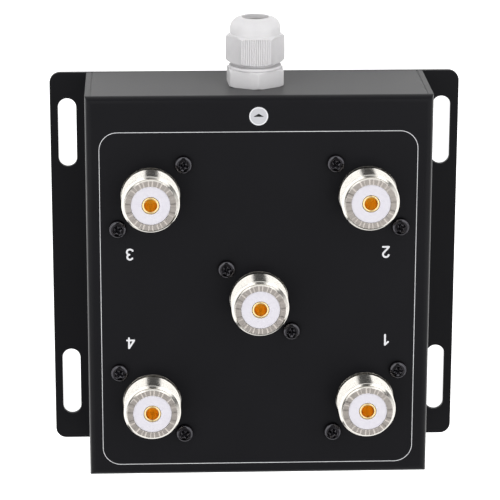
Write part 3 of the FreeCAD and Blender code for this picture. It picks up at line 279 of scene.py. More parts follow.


# Polyester powder coat baked on steel: near black with a hint of blue, matt, with a fine orange peel
# about 0.8 mm across and specks where single grains stayed proud. On the outer part of each long bend, near
# the wall, the coat is made more reflective so that the bend shows as a fine light line: a painted highlight.
# The peak constant is the greatest value of steep ** power * (1 - steep), which the line's strength is
# measured by.
BEND_HIGHLIGHT_POWER = 9.0
BEND_HIGHLIGHT_PEAK = 0.0387
powder_coat, tree, place, _, tone = grained("black_powder_coat", 18, 3.0, "#0b0b0f", "#111115")
peel = add(tree, "TexNoise", {"Vector": place, "Scale": 1 / (0.8 * MM), "Detail": 2.0}, out="Fac")
grain = add(tree, "TexNoise", {"Vector": place, "Scale": 1 / (0.22 * MM), "Detail": 1.0}, out="Fac")
relief = add(tree, "Math", [grain, 0.35, peel], operation="MULTIPLY_ADD")
bump = add(tree, "Bump", {"Height": relief, "Strength": 0.22, "Distance": 0.06 * MM})
gloss = add(tree, "MapRange", {"Value": grain, "To Min": 0.38, "To Max": 0.48})
facing = add(tree, "NewGeometry", out="Normal")
sideways = add(tree, "SeparateXYZ", {"Vector": facing}, out="Y")
steep = add(tree, "Math", [sideways, sideways], operation="MULTIPLY")
level = add(tree, "Math", [1.0, steep], operation="SUBTRACT")
# Where this peaks, on the outer part of each bend across Y, the raised reflectance is a painted highlight.
near_wall = add(tree, "Math", [steep, BEND_HIGHLIGHT_POWER], operation="POWER")
painted_bend_highlight = add(tree, "Math", [near_wall, level], operation="MULTIPLY")
shine = add(tree, "MapRange", {"Value": painted_bend_highlight, "From Max": BEND_HIGHLIGHT_PEAK, "To Min": 0.14, "To Max": 1.0})
end_finish(tree, {"Base Color": tone, "Roughness": gloss, "Normal": bump, "Specular IOR Level": shine,
                  "Sheen Weight": 0.25, "Sheen Roughness": 0.35})

cover = eased_copy("cover", COAT_RADIUS)
coat_in_seams(cover)
hand_over(cover, powder_coat, "housing", "cover")

# ---------------------------------------------------------------- back plate
# The back plate is 1.5 mm steel sheet, wider than the cover: its two ears carry two wall slots each,
# punched through. It has the same powder coat as the cover.
back_plate = eased_copy("back_plate", COAT_RADIUS)
hand_over(back_plate, powder_coat, "housing", "back_plate")

# ---------------------------------------------------------------- panel print
# White epoxy ink, screen printed on the coat: one line round the sockets, a number by each of the four
# outer sockets, and a disc with an arrowhead that points to the cable entry. It is part of the cover.
PANEL = 33.0
INK_THICK = 0.03
INK_SUNK = 0.005
LINE_WIDE = 0.15
FRAME_X = (-51.5, 45.1)
FRAME_Y = (-43.5, 43.95)
FRAME_CORNER = 5.0
DISC_AT = (49.45, 0.3)
DISC_DIA = 5.15
DISC_POINTS = 60
STROKE_WIDE = 0.54
STROKE_LIFT = 0.004
NUMBER_SIZE = 0.95
NUMBER_AT = {"1": (-15.2, -35.7), "2": (10.5, -35.2), "3": (10.45, 35.8), "4": (-15.38, 35.86)}

# Screen ink: flat white, a touch thinner where the screen's mesh left less, and thinnest in the middle of the
# disc, so that the coat greys it there. The mesh is drawn at 0.3 mm so that it shows.
screen_ink, tree, place, _, tone = grained("white_screen_ink", 0.3, 2.0, "#d6d6da", "#f2f2f5")
middle = tuple(v * MM for v in (*DISC_AT, PANEL))
from_disc = add(tree, "VectorMath", [place, middle], out="Value", operation="DISTANCE")
on_disc = add(tree, "MapRange", {"Value": from_disc, "From Min": 2.1 * MM, "From Max": 2.4 * MM,
                                           "To Min": 0.8, "To Max": 0.0})
tone = add(tree, "Mix", {"Factor": on_disc, "A": tone, "B": colour("#b9b9be")},
           out="Result", data_type="RGBA")
end_finish(tree, {"Base Color": tone, "Roughness": 0.6})

print_made = bmesh.new()


def ink_patch(outline, hole=None, over=0.0):
    """A patch of ink on the panel inside an outline, or between an outline and a hole with as many points."""
    lows, highs = [], []
    for loop in [outline] + ([hole] if hole else []):
        lows.append([print_made.verts.new((x, y, PANEL - INK_SUNK)) for x, y in loop])
        highs.append([print_made.verts.new((x, y, PANEL + INK_THICK + over)) for x, y in loop])
    count = len(outline)
    bands = list(zip(lows, highs)) + ([highs, lows] if hole else [])
    for near, far in bands:
        for i in range(count):
            j = (i + 1) % count
            print_made.faces.new((near[i], near[j], far[j], far[i]))
    if not hole:
        print_made.faces.new(highs[0])
        print_made.faces.new(lows[0])


def bow(mid, size, start, end, steps=14):
    """Points on an ellipse from one angle to another, in degrees."""
    return [(mid[0] + size[0] * math.cos(math.radians(start + (end - start) * i / steps)),
             mid[1] + size[1] * math.sin(math.radians(start + (end - start) * i / steps)))
            for i in range(steps + 1)]


def frame_loop(grow):
    """The frame line's middle, moved outwards by so many mm."""
    points = []
    radius = FRAME_CORNER + grow
    corners = [(FRAME_X[a], FRAME_Y[b]) for a, b in ((1, 1), (0, 1), (0, 0), (1, 0))]
    for turn, (x, y) in enumerate(corners):
        mid = (x - math.copysign(FRAME_CORNER, x), y - math.copysign(FRAME_CORNER, y))
        points += bow(mid, (radius, radius), 90 * turn, 90 * turn + 90, 12)
    return points


def pen_stroke(at, path, over):
    """One stroke of a number with round ends. The path is (right, up) points; up is away from the gland."""
    half = STROKE_WIDE / 2
    left, right = [], []
    for i, (u, v) in enumerate(path):
        u0, v0 = path[max(i - 1, 0)]
        u1, v1 = path[min(i + 1, len(path) - 1)]
        length = math.hypot(u1 - u0, v1 - v0)
        du, dv = (u1 - u0) / length * half, (v1 - v0) / length * half
        left.append((u - dv, v + du))
        right.append((u + dv, v - du))
    ends = []
    for (u, v), (cu, cv) in ((path[-1], path[-2]), (path[0], path[1])):
        facing = math.degrees(math.atan2(v - cv, u - cu))
        ends.append(bow((u, v), (half, half), facing - 75, facing + 75, 10))
    loop = right + ends[0] + left[::-1] + ends[1]
    ink_patch([(at[0] - v * NUMBER_SIZE, at[1] + u * NUMBER_SIZE) for u, v in loop], over=over)


ink_patch(frame_loop(LINE_WIDE / 2), frame_loop(-LINE_WIDE / 2))
strokes = {
    "1": [[(0.35, -1.55), (0.35, 1.55)], [(0.35, 1.55), (-0.55, 0.65)]],
    "2": [bow((0.0, 0.72), (0.85, 0.83), 165, -38) + [(-0.82, -1.45)], [(-0.82, -1.55), (0.9, -1.55)]],
    "3": [bow((0.0, 0.78), (0.78, 0.77), 150, -78), bow((0.0, -0.72), (0.9, 0.83), 78, -150)],
    "4": [[(0.5, -1.55), (0.5, 1.55)], [(0.45, 1.5), (-1.0, -0.8)], [(-1.0, -0.85), (1.05, -0.85)]],
}
for number, at in NUMBER_AT.items():
    for k, path in enumerate(strokes[number]):
        pen_stroke(at, path, STROKE_LIFT * k)

# The disc is printed round the arrowhead, which stays bare coat: each point of the disc's edge is joined to
# the point of the arrowhead's edge that lies the same way from the middle.
arrow = [(-0.15, 1.5), (0.72, 0.0), (-0.15, -1.5)]
disc, inner = [], []
for i in range(DISC_POINTS):
    across, along = math.cos(math.tau * i / DISC_POINTS), math.sin(math.tau * i / DISC_POINTS)
    reaches = []
    for (ax, ay), (bx, by) in zip(arrow, arrow[1:] + arrow[:1]):
        slope = across * (by - ay) - along * (bx - ax)
        if slope < -1e-9:
            reaches.append((ax * (by - ay) - ay * (bx - ax)) / slope)
    for loop, reach in ((disc, DISC_DIA / 2), (inner, min(reaches))):
        loop.append((DISC_AT[0] + reach * across, DISC_AT[1] + reach * along))
ink_patch(disc, inner)
bmesh.ops.scale(print_made, vec=(MM, MM, MM), verts=print_made.verts[:])
bmesh.ops.recalc_face_normals(print_made, faces=print_made.faces[:])
print_mesh = bpy.data.meshes.new("panel_print")
print_made.to_mesh(print_mesh)
print_made.free()
panel_print = show("panel_print", print_mesh)
print_mesh.materials.append(screen_ink)
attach(panel_print, "housing")

# ---------------------------------------------------------------- socket shells
# Each shell is turned from brass and plated with bright nickel: a barrel with a 5/8-24 thread, a square
# flange behind the panel, and a rim with 16 notches that keep the plug's prongs from turning.
SOCKETS = {"common_port": (-3.0, 0.0), "port_1": (-33.0, -30.0), "port_2": (27.0, -30.0),
           "port_3": (27.0, 30.0), "port_4": (-33.0, 30.0)}
RISE = 9.8
THREAD_DIA = 15.875
THREAD_PITCH = 25.4 / 24
THREAD_DEPTH = 0.62
SHELL_BORE = 11.2
RIM_RADIUS = 6.94
RIM_BORE = 5.42
NOTCHES = 16


def turned(name, outline, columns, poles=False):
    """A blank turned about Z. The outline is (radius, height) points in mm; a third number sets the row step
    of the run that ends there. It closes on itself, or with poles at both ends on the axis."""
    rows = []
    for i, end in enumerate(outline):
        if i == 0 and poles:
            rows.append(end[:2])
            continue
        start, stop = outline[i - 1][:2], end[:2]
        steps = max(1, round(math.dist(start, stop) / end[2])) if len(end) > 2 else 1
        rows += [tuple(a + (b - a) * k / steps for a, b in zip(start, stop)) for k in range(1, steps + 1)]
    made = bmesh.new()
    rings = []
    for radius, height in rows:
        if radius == 0:
            rings.append([made.verts.new((0, 0, height))] * columns)
        else:
            rings.append([made.verts.new((radius * math.cos(math.tau * i / columns),
                                          radius * math.sin(math.tau * i / columns), height))
                          for i in range(columns)])
    for low, high in zip(rings, rings[1:] if poles else rings[1:] + rings[:1]):
        for i in range(columns):
            j = (i + 1) % columns
            made.faces.new(list(dict.fromkeys((low[i], low[j], high[j], high[i]))))
    bmesh.ops.recalc_face_normals(made, faces=made.faces[:])
    mesh = bpy.data.meshes.new(name)
    made.to_mesh(mesh)
    made.free()
    return show(name, mesh)


def join_into(piece, other):
    """Adds another piece's faces to a piece's mesh and removes the other."""
    made = bmesh.new()
    made.from_mesh(piece.data)
    made.from_mesh(other.data)
    made.to_mesh(piece.data)
    made.free()
    bpy.data.objects.remove(other)


def new_tool(name, sizes):
    """A Geometry Nodes tree that works on a blank, with named inputs for its sizes and the finish."""
    tree = bpy.data.node_groups.new(name, "GeometryNodeTree")
    tree.interface.new_socket("Blank", in_out="INPUT", socket_type="NodeSocketGeometry")
    tree.interface.new_socket("Finish", in_out="INPUT", socket_type="NodeSocketMaterial")
    for label, size in sizes.items():
        tree.interface.new_socket(label, in_out="INPUT", socket_type="NodeSocketFloat").default_value = size
    tree.interface.new_socket("Piece", in_out="OUTPUT", socket_type="NodeSocketGeometry")
    return tree, tree.nodes.new("NodeGroupInput").outputs


def end_tool(tree, geometry, finish):
    """Ends a tool's tree: its result made real, with its material."""
    whole = add(tree, "GeometryNodeRealizeInstances", {"Geometry": geometry})
    whole = add(tree, "GeometryNodeSetMaterial", {"Geometry": whole, "Material": finish})
    add(tree, "NodeGroupOutput", [whole])


def about_axis(tree):
    """Each point's position, its parts along X, Y and Z, and its distance from the blank's axis."""
    at = add(tree, "GeometryNodeInputPosition")
    parts = tree.nodes.new("ShaderNodeSeparateXYZ")
    tree.links.new(at, parts.inputs[0])
    flat = add(tree, "VectorMath", [at, (1, 1, 0)], operation="MULTIPLY")
    radius = add(tree, "VectorMath", [flat], out="Value", operation="LENGTH")
    return at, parts.outputs, radius


def held_within(tree, at, radius, limit):
    """Each point's position once it lies no further from the axis than the limit."""
    kept = add(tree, "Math", [radius, limit], operation="MINIMUM")
    share = add(tree, "Math", [kept, radius], operation="DIVIDE")
    squeeze = add(tree, "CombineXYZ", {"X": share, "Y": share, "Z": 1.0})
    return add(tree, "VectorMath", [at, squeeze], operation="MULTIPLY")


def put_through(piece, tree, finish, sizes):
    """Hangs a tool's tree on a piece as a modifier and sets its inputs by their sockets' identifiers."""
    step = piece.modifiers.new(tree.name, "NODES")
    step.node_group = tree
    inputs = {"Finish": finish, **sizes}
    for socket in tree.interface.items_tree:
        if socket.in_out == "INPUT" and socket.name in inputs:
            step[socket.identifier] = inputs[socket.name]


# Bright nickel plate on brass: a warm pale metal with a faint haze. The pressed rim's upward faces are hazier
# and a darker grey.
nickel, tree, place, lines, tone = grained("bright_nickel_plate", 0.5, 3.0, "#dcd8d1", "#e4e1db")
haze = add(tree, "MapRange", {"Value": lines, "To Min": 0.12, "To Max": 0.2})
height = add(tree, "SeparateXYZ", {"Vector": place}, out="Z")
high = add(tree, "Math", [height, (PANEL + RISE - 0.2) * MM], operation="GREATER_THAN")
facing = add(tree, "NewGeometry", out="True Normal")
facing = add(tree, "SeparateXYZ", {"Vector": facing}, out="Z")
facing = add(tree, "Math", [facing, 0.8], operation="GREATER_THAN")
rim = add(tree, "Math", [high, facing], operation="MULTIPLY")
haze = add(tree, "MapRange", {"Value": rim, "To Min": haze, "To Max": 0.34})
tone = add(tree, "Mix", {"Factor": rim, "A": tone, "B": colour("#b9b2ac")}, out="Result", data_type="RGBA")
marks = add(tree, "Bump", {"Height": lines, "Strength": 0.05, "Distance": 0.02 * MM})
end_finish(tree, {"Base Color": tone, "Metallic": 1.0, "Roughness": haze, "Normal": marks})

# The thread tool winds a ridge of trapezoid section round a blank and chamfers it at both ends. The ridge's
# foot takes nine tenths of the pitch and lies a tenth of the depth inside the blank.
thread_tool, sizes = new_tool("thread_tool", {
    "Crest Radius": 1.0, "Depth": 0.1, "Pitch": 1.0, "From": 0.0, "To": 1.0, "Chamfer": 0.5,
    "Points per Turn": 72.0})
tree = thread_tool
travel = add(tree, "Math", [sizes["To"], sizes["From"]], operation="SUBTRACT")
turns = add(tree, "Math", [travel, sizes["Pitch"]], operation="DIVIDE")
buried = add(tree, "Math", [sizes["Depth"], 1.1], operation="MULTIPLY")
middle = add(tree, "Math", [buried, -0.5, sizes["Crest Radius"]], operation="MULTIPLY_ADD")
helix = add(tree, "GeometryNodeCurveSpiral",
            {"Resolution": sizes["Points per Turn"], "Rotations": turns, "Start Radius": middle,
             "End Radius": middle, "Height": travel})
lift = add(tree, "CombineXYZ", {"Z": sizes["From"]})
helix = add(tree, "GeometryNodeTransform", {"Geometry": helix, "Translation": lift})
helix = add(tree, "GeometryNodeSetCurveNormal", {"Curve": helix}, mode="Z_UP")
root_wide = add(tree, "Math", [sizes["Pitch"], 0.9], operation="MULTIPLY")
crest_wide = add(tree, "Math", [sizes["Pitch"], 0.14], operation="MULTIPLY")
section = add(tree, "GeometryNodeCurvePrimitiveQuadrilateral",
              {"Height": buried, "Bottom Width": root_wide, "Top Width": crest_wide, "Offset": 0.0},
              mode="TRAPEZOID")
section = add(tree, "GeometryNodeTransform", {"Geometry": section, "Rotation": (0, 0, math.radians(90))})
ridge = add(tree, "GeometryNodeCurveToMesh", {"Curve": helix, "Profile Curve": section, "Fill Caps": True})
at, parts, radius = about_axis(tree)
over = add(tree, "Math", [parts["Z"], sizes["To"]], operation="SUBTRACT")
below = add(tree, "Math", [sizes["From"], parts["Z"]], operation="SUBTRACT")
past = over
for does, by in (("MAXIMUM", below), ("ADD", sizes["Chamfer"]), ("MAXIMUM", 0.0)):
    past = add(tree, "Math", [past, by], operation=does)
limit = add(tree, "Math", [sizes["Crest Radius"], past], operation="SUBTRACT")
trimmed = held_within(tree, at, radius, limit)
ridge = add(tree, "GeometryNodeSetPosition", {"Geometry": ridge, "Position": trimmed})
joined = tree.nodes.new("GeometryNodeJoinGeometry")
tree.links.new(ridge, joined.inputs[0])
tree.links.new(sizes["Blank"], joined.inputs[0])
end_tool(tree, joined.outputs[0], sizes["Finish"])

# The rim tool presses notches with a flat floor and steep sides into a blank's rim, right across its face.
rim_tool, sizes = new_tool("rim_tool", {
    "Notches": 16.0, "Notch Share": 0.5, "Side Share": 0.1, "Depth": 0.5, "Rim Height": 1.0, "Reach": 0.9,
    "Outer Radius": 1.0})
tree = rim_tool
at, parts, radius = about_axis(tree)
tooth = add(tree, "Math", [parts["Y"], parts["X"]], operation="ARCTAN2")
for does, *by in (("MULTIPLY_ADD", 1 / math.tau, 1.0), ("MULTIPLY", sizes["Notches"]), ("PINGPONG", 0.5)):
    tooth = add(tree, "Math", [tooth, *by], operation=does)
half_share = add(tree, "Math", [sizes["Notch Share"], 0.5], operation="MULTIPLY")
floor_share = add(tree, "Math", [half_share, sizes["Side Share"]], operation="SUBTRACT")
notch = add(tree, "MapRange", {"Value": tooth, "From Min": floor_share, "From Max": half_share,
                                         "To Min": sizes["Depth"], "To Max": 0.0})
foot = add(tree, "Math", [sizes["Rim Height"], sizes["Reach"]], operation="SUBTRACT")
over = add(tree, "Math", [parts["Z"], foot], operation="SUBTRACT")
over = add(tree, "Math", [over, 0.0], operation="MAXIMUM")
share = add(tree, "Math", [over, sizes["Reach"]], operation="DIVIDE")
inside = add(tree, "Math", [radius, sizes["Outer Radius"]], operation="LESS_THAN")
drop = share
for factor in (notch, inside, -1.0):
    drop = add(tree, "Math", [drop, factor], operation="MULTIPLY")
drop = add(tree, "CombineXYZ", {"Z": drop})
pressed = add(tree, "GeometryNodeSetPosition", {"Geometry": sizes["Blank"], "Offset": drop})
end_tool(tree, pressed, sizes["Finish"])

# Up the thread's core, through the groove above it and over the rim, then down the wider mouth and the bore.
crest = THREAD_DIA / 2
root = crest - THREAD_DEPTH
bore = SHELL_BORE / 2
barrel_outline = [
    (bore + 0.05, -0.1), (root, -0.1), (root, 0.0), (root, RISE - 0.8), (root - 0.3, RISE - 0.76),
    (root - 0.3, RISE - 0.4), (root - 0.02, RISE - 0.36), (RIM_RADIUS + 0.02, RISE - 0.02, 0.1),
    (RIM_RADIUS - 0.03, RISE), (RIM_BORE + 0.02, RISE, 0.2), (RIM_BORE, RISE - 0.02),
    (RIM_BORE, RISE - 0.64, 0.2), (bore, RISE - 0.7), (bore, 0.0),
]
for name, (x, y) in SOCKETS.items():
    barrel = turned(name + "_barrel", barrel_outline, NOTCHES * 20)
    put_through(barrel, thread_tool, nickel, {
        "Crest Radius": crest, "Depth": THREAD_DEPTH, "Pitch": THREAD_PITCH, "From": 0.0, "To": RISE - 0.78,
        "Chamfer": THREAD_DEPTH, "Points per Turn": 96.0})
    put_through(barrel, rim_tool, nickel, {
        "Notches": float(NOTCHES), "Notch Share": 0.5, "Side Share": 0.08, "Depth": 0.115,
        "Rim Height": RISE, "Reach": 0.4, "Outer Radius": RIM_RADIUS - 0.02})
    plain_mesh(barrel)
    barrel.data.transform(Matrix.Translation((x * MM, y * MM, PANEL * MM)) @ Matrix.Scale(MM, 4))
    join_into(barrel, eased_copy(name + "_shell", 0.1, keep=((0, 0, PANEL * MM), (0, 0, 1))))
    hand_over(barrel, nickel, "housing", name + "_shell")

# ---------------------------------------------------------------- insulators and contacts
# A white fluoroplastic insulator fills each shell up to just under the rim. The gold plated contact stands in
# it, a sleeve whose four fingers are pinched in at the mouth to grip a plug's pin. Its far end is the solder
# tail.
RIM = PANEL + RISE
FACE_FROM = RIM - 0.7
FACE_EDGE = 5.3
FACE_SCALE = 0.972
FACE_LIFT = 0.25
HOLE_FROM = RIM - 3
HOLE_EDGE = (2.5, 2.9)
HOLE_SCALE = 0.915
SLIT_FOOT = RISE - 6.2
SLIT_SHARE = 0.008
TAIL_TOP = PANEL - 0.41

# Turned fluoroplastic: milk white with a cold tint, waxy, so light goes a little way in.
fluoroplastic = even_finish(
    "white_fluoroplastic", 1.2, 2.0, "#d9d6df", "#e1dfe5", 0.42, (0.1, 0.03),
    more={"IOR": 1.38,
          "Subsurface Weight": 0.3, "Subsurface Radius": (1, 1, 1), "Subsurface Scale": 0.6 * MM})

# Gold flash over nickel: deep orange where it mirrors itself in the bore. The pale ring round the mouth is a
# painted highlight on the lip.
gold_flash, tree, place, wear_and_painted_highlight, tone = grained("gold_flash", 0.6, 2.0, "#f7c443", "#fccf58")
haze = add(tree, "MapRange", {"Value": wear_and_painted_highlight, "To Min": 0.26, "To Max": 0.38})
height = add(tree, "SeparateXYZ", {"Vector": place}, out="Z")
# The pale tone just under the rim is a painted highlight on the contact's lip.
mouth_highlight = add(tree, "MapRange",
            {"Value": height, "From Min": (RIM - 0.5) * MM, "From Max": (RIM - 0.34) * MM})
tone = add(tree, "Mix", {"Factor": mouth_highlight, "A": tone, "B": colour("#ffe5aa")},
           out="Result", data_type="RGBA")
end_finish(tree, {"Base Color": tone, "Metallic": 1.0, "Roughness": haze})


def cut_away(piece, cutter):
    """Takes a cutter's solid out of a piece and removes the cutter."""
    step = piece.modifiers.new("cut", "BOOLEAN")
    step.object = cutter
    step.operation = "DIFFERENCE"
    step.solver = "EXACT"
    bake_shape(piece)
    bpy.data.objects.remove(cutter)


# Up the sleeve's outside, over its rounded mouth, and down the pinched hole to its floor.
sleeve_outline = [
    (0, -0.42), (2.4, -0.42), (2.4, RISE - 2.0), (2.32, RISE - 0.42), (2.26, RISE - 0.29),
    (2.14, RISE - 0.21), (2.0, RISE - 0.2), (1.86, RISE - 0.24), (1.77, RISE - 0.34), (1.75, RISE - 0.5),
    (1.78, RISE - 1.2), (2.0, RISE - 4.5, 0.4), (2.0, 0.6, 0.4), (0, 0.6),
]
saw_outline = [(0, SLIT_FOOT), (4.0, SLIT_FOOT), (4.0, RISE + 1), (0, RISE + 1)]
# The insulator's face is lifted a little and drawn in at its edge, and its hole narrows to the sleeve.
for name, (x, y) in SOCKETS.items():
    insulator = eased_copy(name + "_insulator", 0.12)
    middle = Vector((x, y, 0)) * MM
    for vertex in insulator.data.vertices:
        away = vertex.co - middle
        at_face = away.z > FACE_FROM * MM
        if away.z > HOLE_FROM * MM and HOLE_EDGE[0] * MM < away.xy.length < HOLE_EDGE[1] * MM:
            vertex.co.xy = middle.xy + away.xy * HOLE_SCALE
        elif at_face and away.xy.length > FACE_EDGE * MM:
            vertex.co.xy = middle.xy + away.xy * FACE_SCALE
        if at_face:
            vertex.co.z += FACE_LIFT * MM
    hand_over(insulator, fluoroplastic, "housing", name + "_insulator")
    contact = turned(name + "_sleeve", sleeve_outline, 96, poles=True)
    for turn in (0, 90):
        saw = plain_mesh(turned("saw", saw_outline, 4, poles=True))
        thinned = Matrix.Diagonal((1, SLIT_SHARE, 1, 1))
        saw.data.transform(Matrix.Rotation(math.radians(turn), 4, "Z") @ thinned)
        cut_away(contact, saw)
    plain_mesh(contact)
    contact.data.transform(Matrix.Translation(middle + Vector((0, 0, PANEL * MM))) @ Matrix.Scale(MM, 4))
    join_into(contact, eased_copy(name + "_contact", 0.1, keep=((0, 0, TAIL_TOP * MM), (0, 0, 1))))
    hand_over(contact, gold_flash, "housing", name + "_contact")

# ---------------------------------------------------------------- socket screws
# Two M2.5 pan head screws with cross recesses hold each socket, blackened like the panel. Four of them run on
# into the board's spacers, the others into nuts. They were driven by hand, so no two stand alike.
HEAD_TALL = 1.9
SHANK_DIA = 2.5
SHANK_PITCH = 0.45
CORE = SHANK_DIA / 2 - 0.27
SCREW_AT = [(-23.9, -39.1), (-42.1, -20.9), (17.9, -39.1), (36.1, -20.9), (36.1, 20.9), (17.9, 39.1),
            (-42.1, 20.9), (-23.9, 39.1), (6.1, 9.1), (-12.1, -9.1)]
SOCKET_SCREW_SEED = 7.0


def cross_recess(screw, top, span, deep):
    """Sinks a cross recess into the top of a screw's head, in mm. Each of its two blades is span long at the
    mouth and leans in to a narrow floor."""
    half = span / 2
    signs = ((1, 1), (-1, 1), (-1, -1), (1, -1))
    for turn in (0, 90):
        blade = bpy.data.meshes.new("blade")
        made = bmesh.new()
        corners = []
        for x, y, z in ((half, 0.48, top + 0.3), (half * 0.93, 0.44, top), (0.42, 0.3, top - deep)):
            corners.append([made.verts.new((sx * x, sy * y, z)) for sx, sy in signs])
        for low, high in zip(corners, corners[1:]):
            for i in range(4):
                made.faces.new((low[i], low[i - 1], high[i - 1], high[i]))
        made.faces.new(corners[0])
        made.faces.new(corners[-1][::-1])
        bmesh.ops.rotate(made, verts=made.verts[:], matrix=Matrix.Rotation(math.radians(turn), 3, "Z"))
        bmesh.ops.recalc_face_normals(made, faces=made.faces[:])
        made.to_mesh(blade)
        made.free()
        cut_away(screw, show("recess_cutter", blade))


# Black zinc on steel: an oily black metal, so a head's dome mirrors the dark room and catches the softboxes
# as arcs. The sloped edge of each head is given a lighter, more reflective tone where those arcs fall: a
# painted highlight.
black_zinc, tree, _, bloom, tone = grained("black_zinc_steel", 0.7, 3.0, "#1b1a1c", "#262527")
facing = add(tree, "NewGeometry", out="Normal")
facing = add(tree, "SeparateXYZ", {"Vector": facing}, out="Z")
facing = add(tree, "Math", [facing], operation="ABSOLUTE")
# Lighter where the head slopes, where the softboxes' arcs fall: a painted highlight.
wear_and_painted_highlight = add(tree, "MapRange", {"Value": facing, "From Min": 0.97, "From Max": 0.86})
tone = add(tree, "Mix", {"Factor": wear_and_painted_highlight, "A": tone, "B": colour("#525155")}, out="Result", data_type="RGBA")
haze = add(tree, "MapRange", {"Value": bloom, "To Min": 0.08, "To Max": 0.15})
pits = add(tree, "Bump", {"Height": bloom, "Strength": 0.12, "Distance": 0.02 * MM})
end_finish(tree, {"Base Color": tone, "Metallic": 1.0, "Roughness": haze, "Normal": pits})

# The setting tool puts one screw on each point of its blank, turned by a seeded angle.
setting_tool, sizes = new_tool("setting_tool", {"Seed": 1.0})
setting_tool.interface.new_socket("Screw", in_out="INPUT", socket_type="NodeSocketObject")
tree = setting_tool
screw_in = tree.nodes["Group Input"].outputs["Screw"]
screw_seen = add(tree, "GeometryNodeObjectInfo", {"Object": screw_in}, out="Geometry")
turn = add(tree, "FunctionNodeRandomValue", {2: 0.0, 3: math.tau, "Seed": sizes["Seed"]},
           out=1, data_type="FLOAT")
stand = add(tree, "CombineXYZ", {"Z": turn})
placed = add(tree, "GeometryNodeInstanceOnPoints",
             {"Points": sizes["Blank"], "Instance": screw_seen, "Rotation": stand})
end_tool(tree, placed, sizes["Finish"])

pan_outline = [
    (0, 0.0), (2.42, 0.0, 0.5), (2.5, 0.08), (2.5, 0.82), (2.46, 1.1), (2.34, 1.36), (2.16, 1.56),
    (1.92, 1.71), (1.64, 1.8), (1.2, 1.86), (0.6, 1.89), (0, HEAD_TALL),
]
head = turned("pan_head", pan_outline, 48, poles=True)
cross_recess(head, HEAD_TALL, 3.1, 1.35)
shank_outline = [(0, -6.0), (0.72, -6.0), (CORE, -5.75), (CORE, 0.3), (0, 0.3)]
screw = turned("socket_screw", shank_outline, 24, poles=True)
put_through(screw, thread_tool, black_zinc, {
    "Crest Radius": SHANK_DIA / 2, "Depth": 0.26, "Pitch": SHANK_PITCH, "From": -5.9, "To": -0.1,
    "Chamfer": 0.2, "Points per Turn": 28.0})
plain_mesh(screw)
join_into(screw, head)


def set_screws(name, screw, spots, height, seed):
    """Sets a copy of a screw on each spot through the setting tool, as one plain mesh."""
    screw.data.transform(Matrix.Scale(MM, 4))
    points = bpy.data.meshes.new(name)
    points.from_pydata([(x * MM, y * MM, height * MM) for x, y in spots], [], [])
    made = show(name, points)
    put_through(made, setting_tool, black_zinc, {"Seed": seed, "Screw": screw})
    plain_mesh(made)
    bpy.data.objects.remove(screw)
    return made


socket_screws = set_screws("socket_screws_finished", screw, SCREW_AT, PANEL, SOCKET_SCREW_SEED)
hand_over(socket_screws, black_zinc, "housing", "socket_screws")

# ---------------------------------------------------------------- cover screws
# Four M3 flat head screws hold the back plate to clinch nuts in the cover's rear lips. Their heads lie
# flush in countersinks on the rear face.
FLAT_HEAD = 5.2
COVER_SCREW = 3.0
COVER_SCREW_SUNK = 0.05
COVER_SCREW_SEED = 11.0
COVER_SCREW_AT = [(x, y) for x in (-42.0, 42.0) for y in (-41.74, 41.74)]
rim = FLAT_HEAD / 2
core = COVER_SCREW / 2 - 0.3
flat_outline = [
    (0, 0.0), (rim - 0.06, 0.0, 0.6), (rim, 0.06), (rim, 0.12), (core, 1.25), (core, 5.8), (0.9, 6.0),
    (0, 6.0),
]
cover_screw = turned("cover_screw", flat_outline, 48, poles=True)
put_through(cover_screw, thread_tool, black_zinc, {
    "Crest Radius": COVER_SCREW / 2, "Depth": 0.3, "Pitch": 0.5, "From": 1.5, "To": 5.9,
    "Chamfer": 0.25, "Points per Turn": 28.0})
plain_mesh(cover_screw)
cover_screw.data.transform(Matrix.Rotation(math.pi, 4, "X"))
cross_recess(cover_screw, 0.0, 2.9, 1.1)
cover_screw.data.transform(Matrix.Rotation(math.pi, 4, "X"))
cover_screws = set_screws("cover_screws_finished", cover_screw, COVER_SCREW_AT, COVER_SCREW_SUNK,
                           COVER_SCREW_SEED)
hand_over(cover_screws, black_zinc, "housing", "cover_screws")

# ---------------------------------------------------------------- cable gland, body
# A moulded nylon gland for a 3.5 to 6 mm cable. The body's hexagon stands on the wall over a gasket, a
# locknut holds its tail inside, and its clamping fingers reach up into the dome nut.
GLAND_AT = (55.0, 0.6, 16.9)
GLAND_THREAD = 12.4
GLAND_PITCH = 1.27
GLAND_BORE = 8.0
HEX_ACROSS = 15.0
HEX_TALL = 4.7
HEX_TURN = 4.0
FINGER_FOOT = 11.8
wall_x, wall_y, wall_z = (v * MM for v in GLAND_AT)
to_wall = Matrix(((0, 0, 1, wall_x), (0, -1, 0, wall_y), (1, 0, 0, wall_z), (0, 0, 0, 1)))

# Moulded polyamide: light grey, satin, slightly translucent at its thin edges, with a faint flow pattern.
polyamide, tree, place, flow, tone = grained("light_grey_polyamide", 2.5, 3.0, "#d8d6d8", "#e0dfe0")
satin = add(tree, "MapRange", {"Value": flow, "To Min": 0.36, "To Max": 0.46})
skin = add(tree, "TexNoise", {"Vector": place, "Scale": 1 / (0.25 * MM), "Detail": 1.0}, out="Fac")
skin = add(tree, "Bump", {"Height": skin, "Strength": 0.08, "Distance": 0.03 * MM})
end_finish(tree, {"Base Color": tone, "Roughness": satin, "IOR": 1.53, "Normal": skin,
                  "Subsurface Weight": 0.25, "Subsurface Radius": (1.0, 0.98, 0.96),
                  "Subsurface Scale": 0.7 * MM})

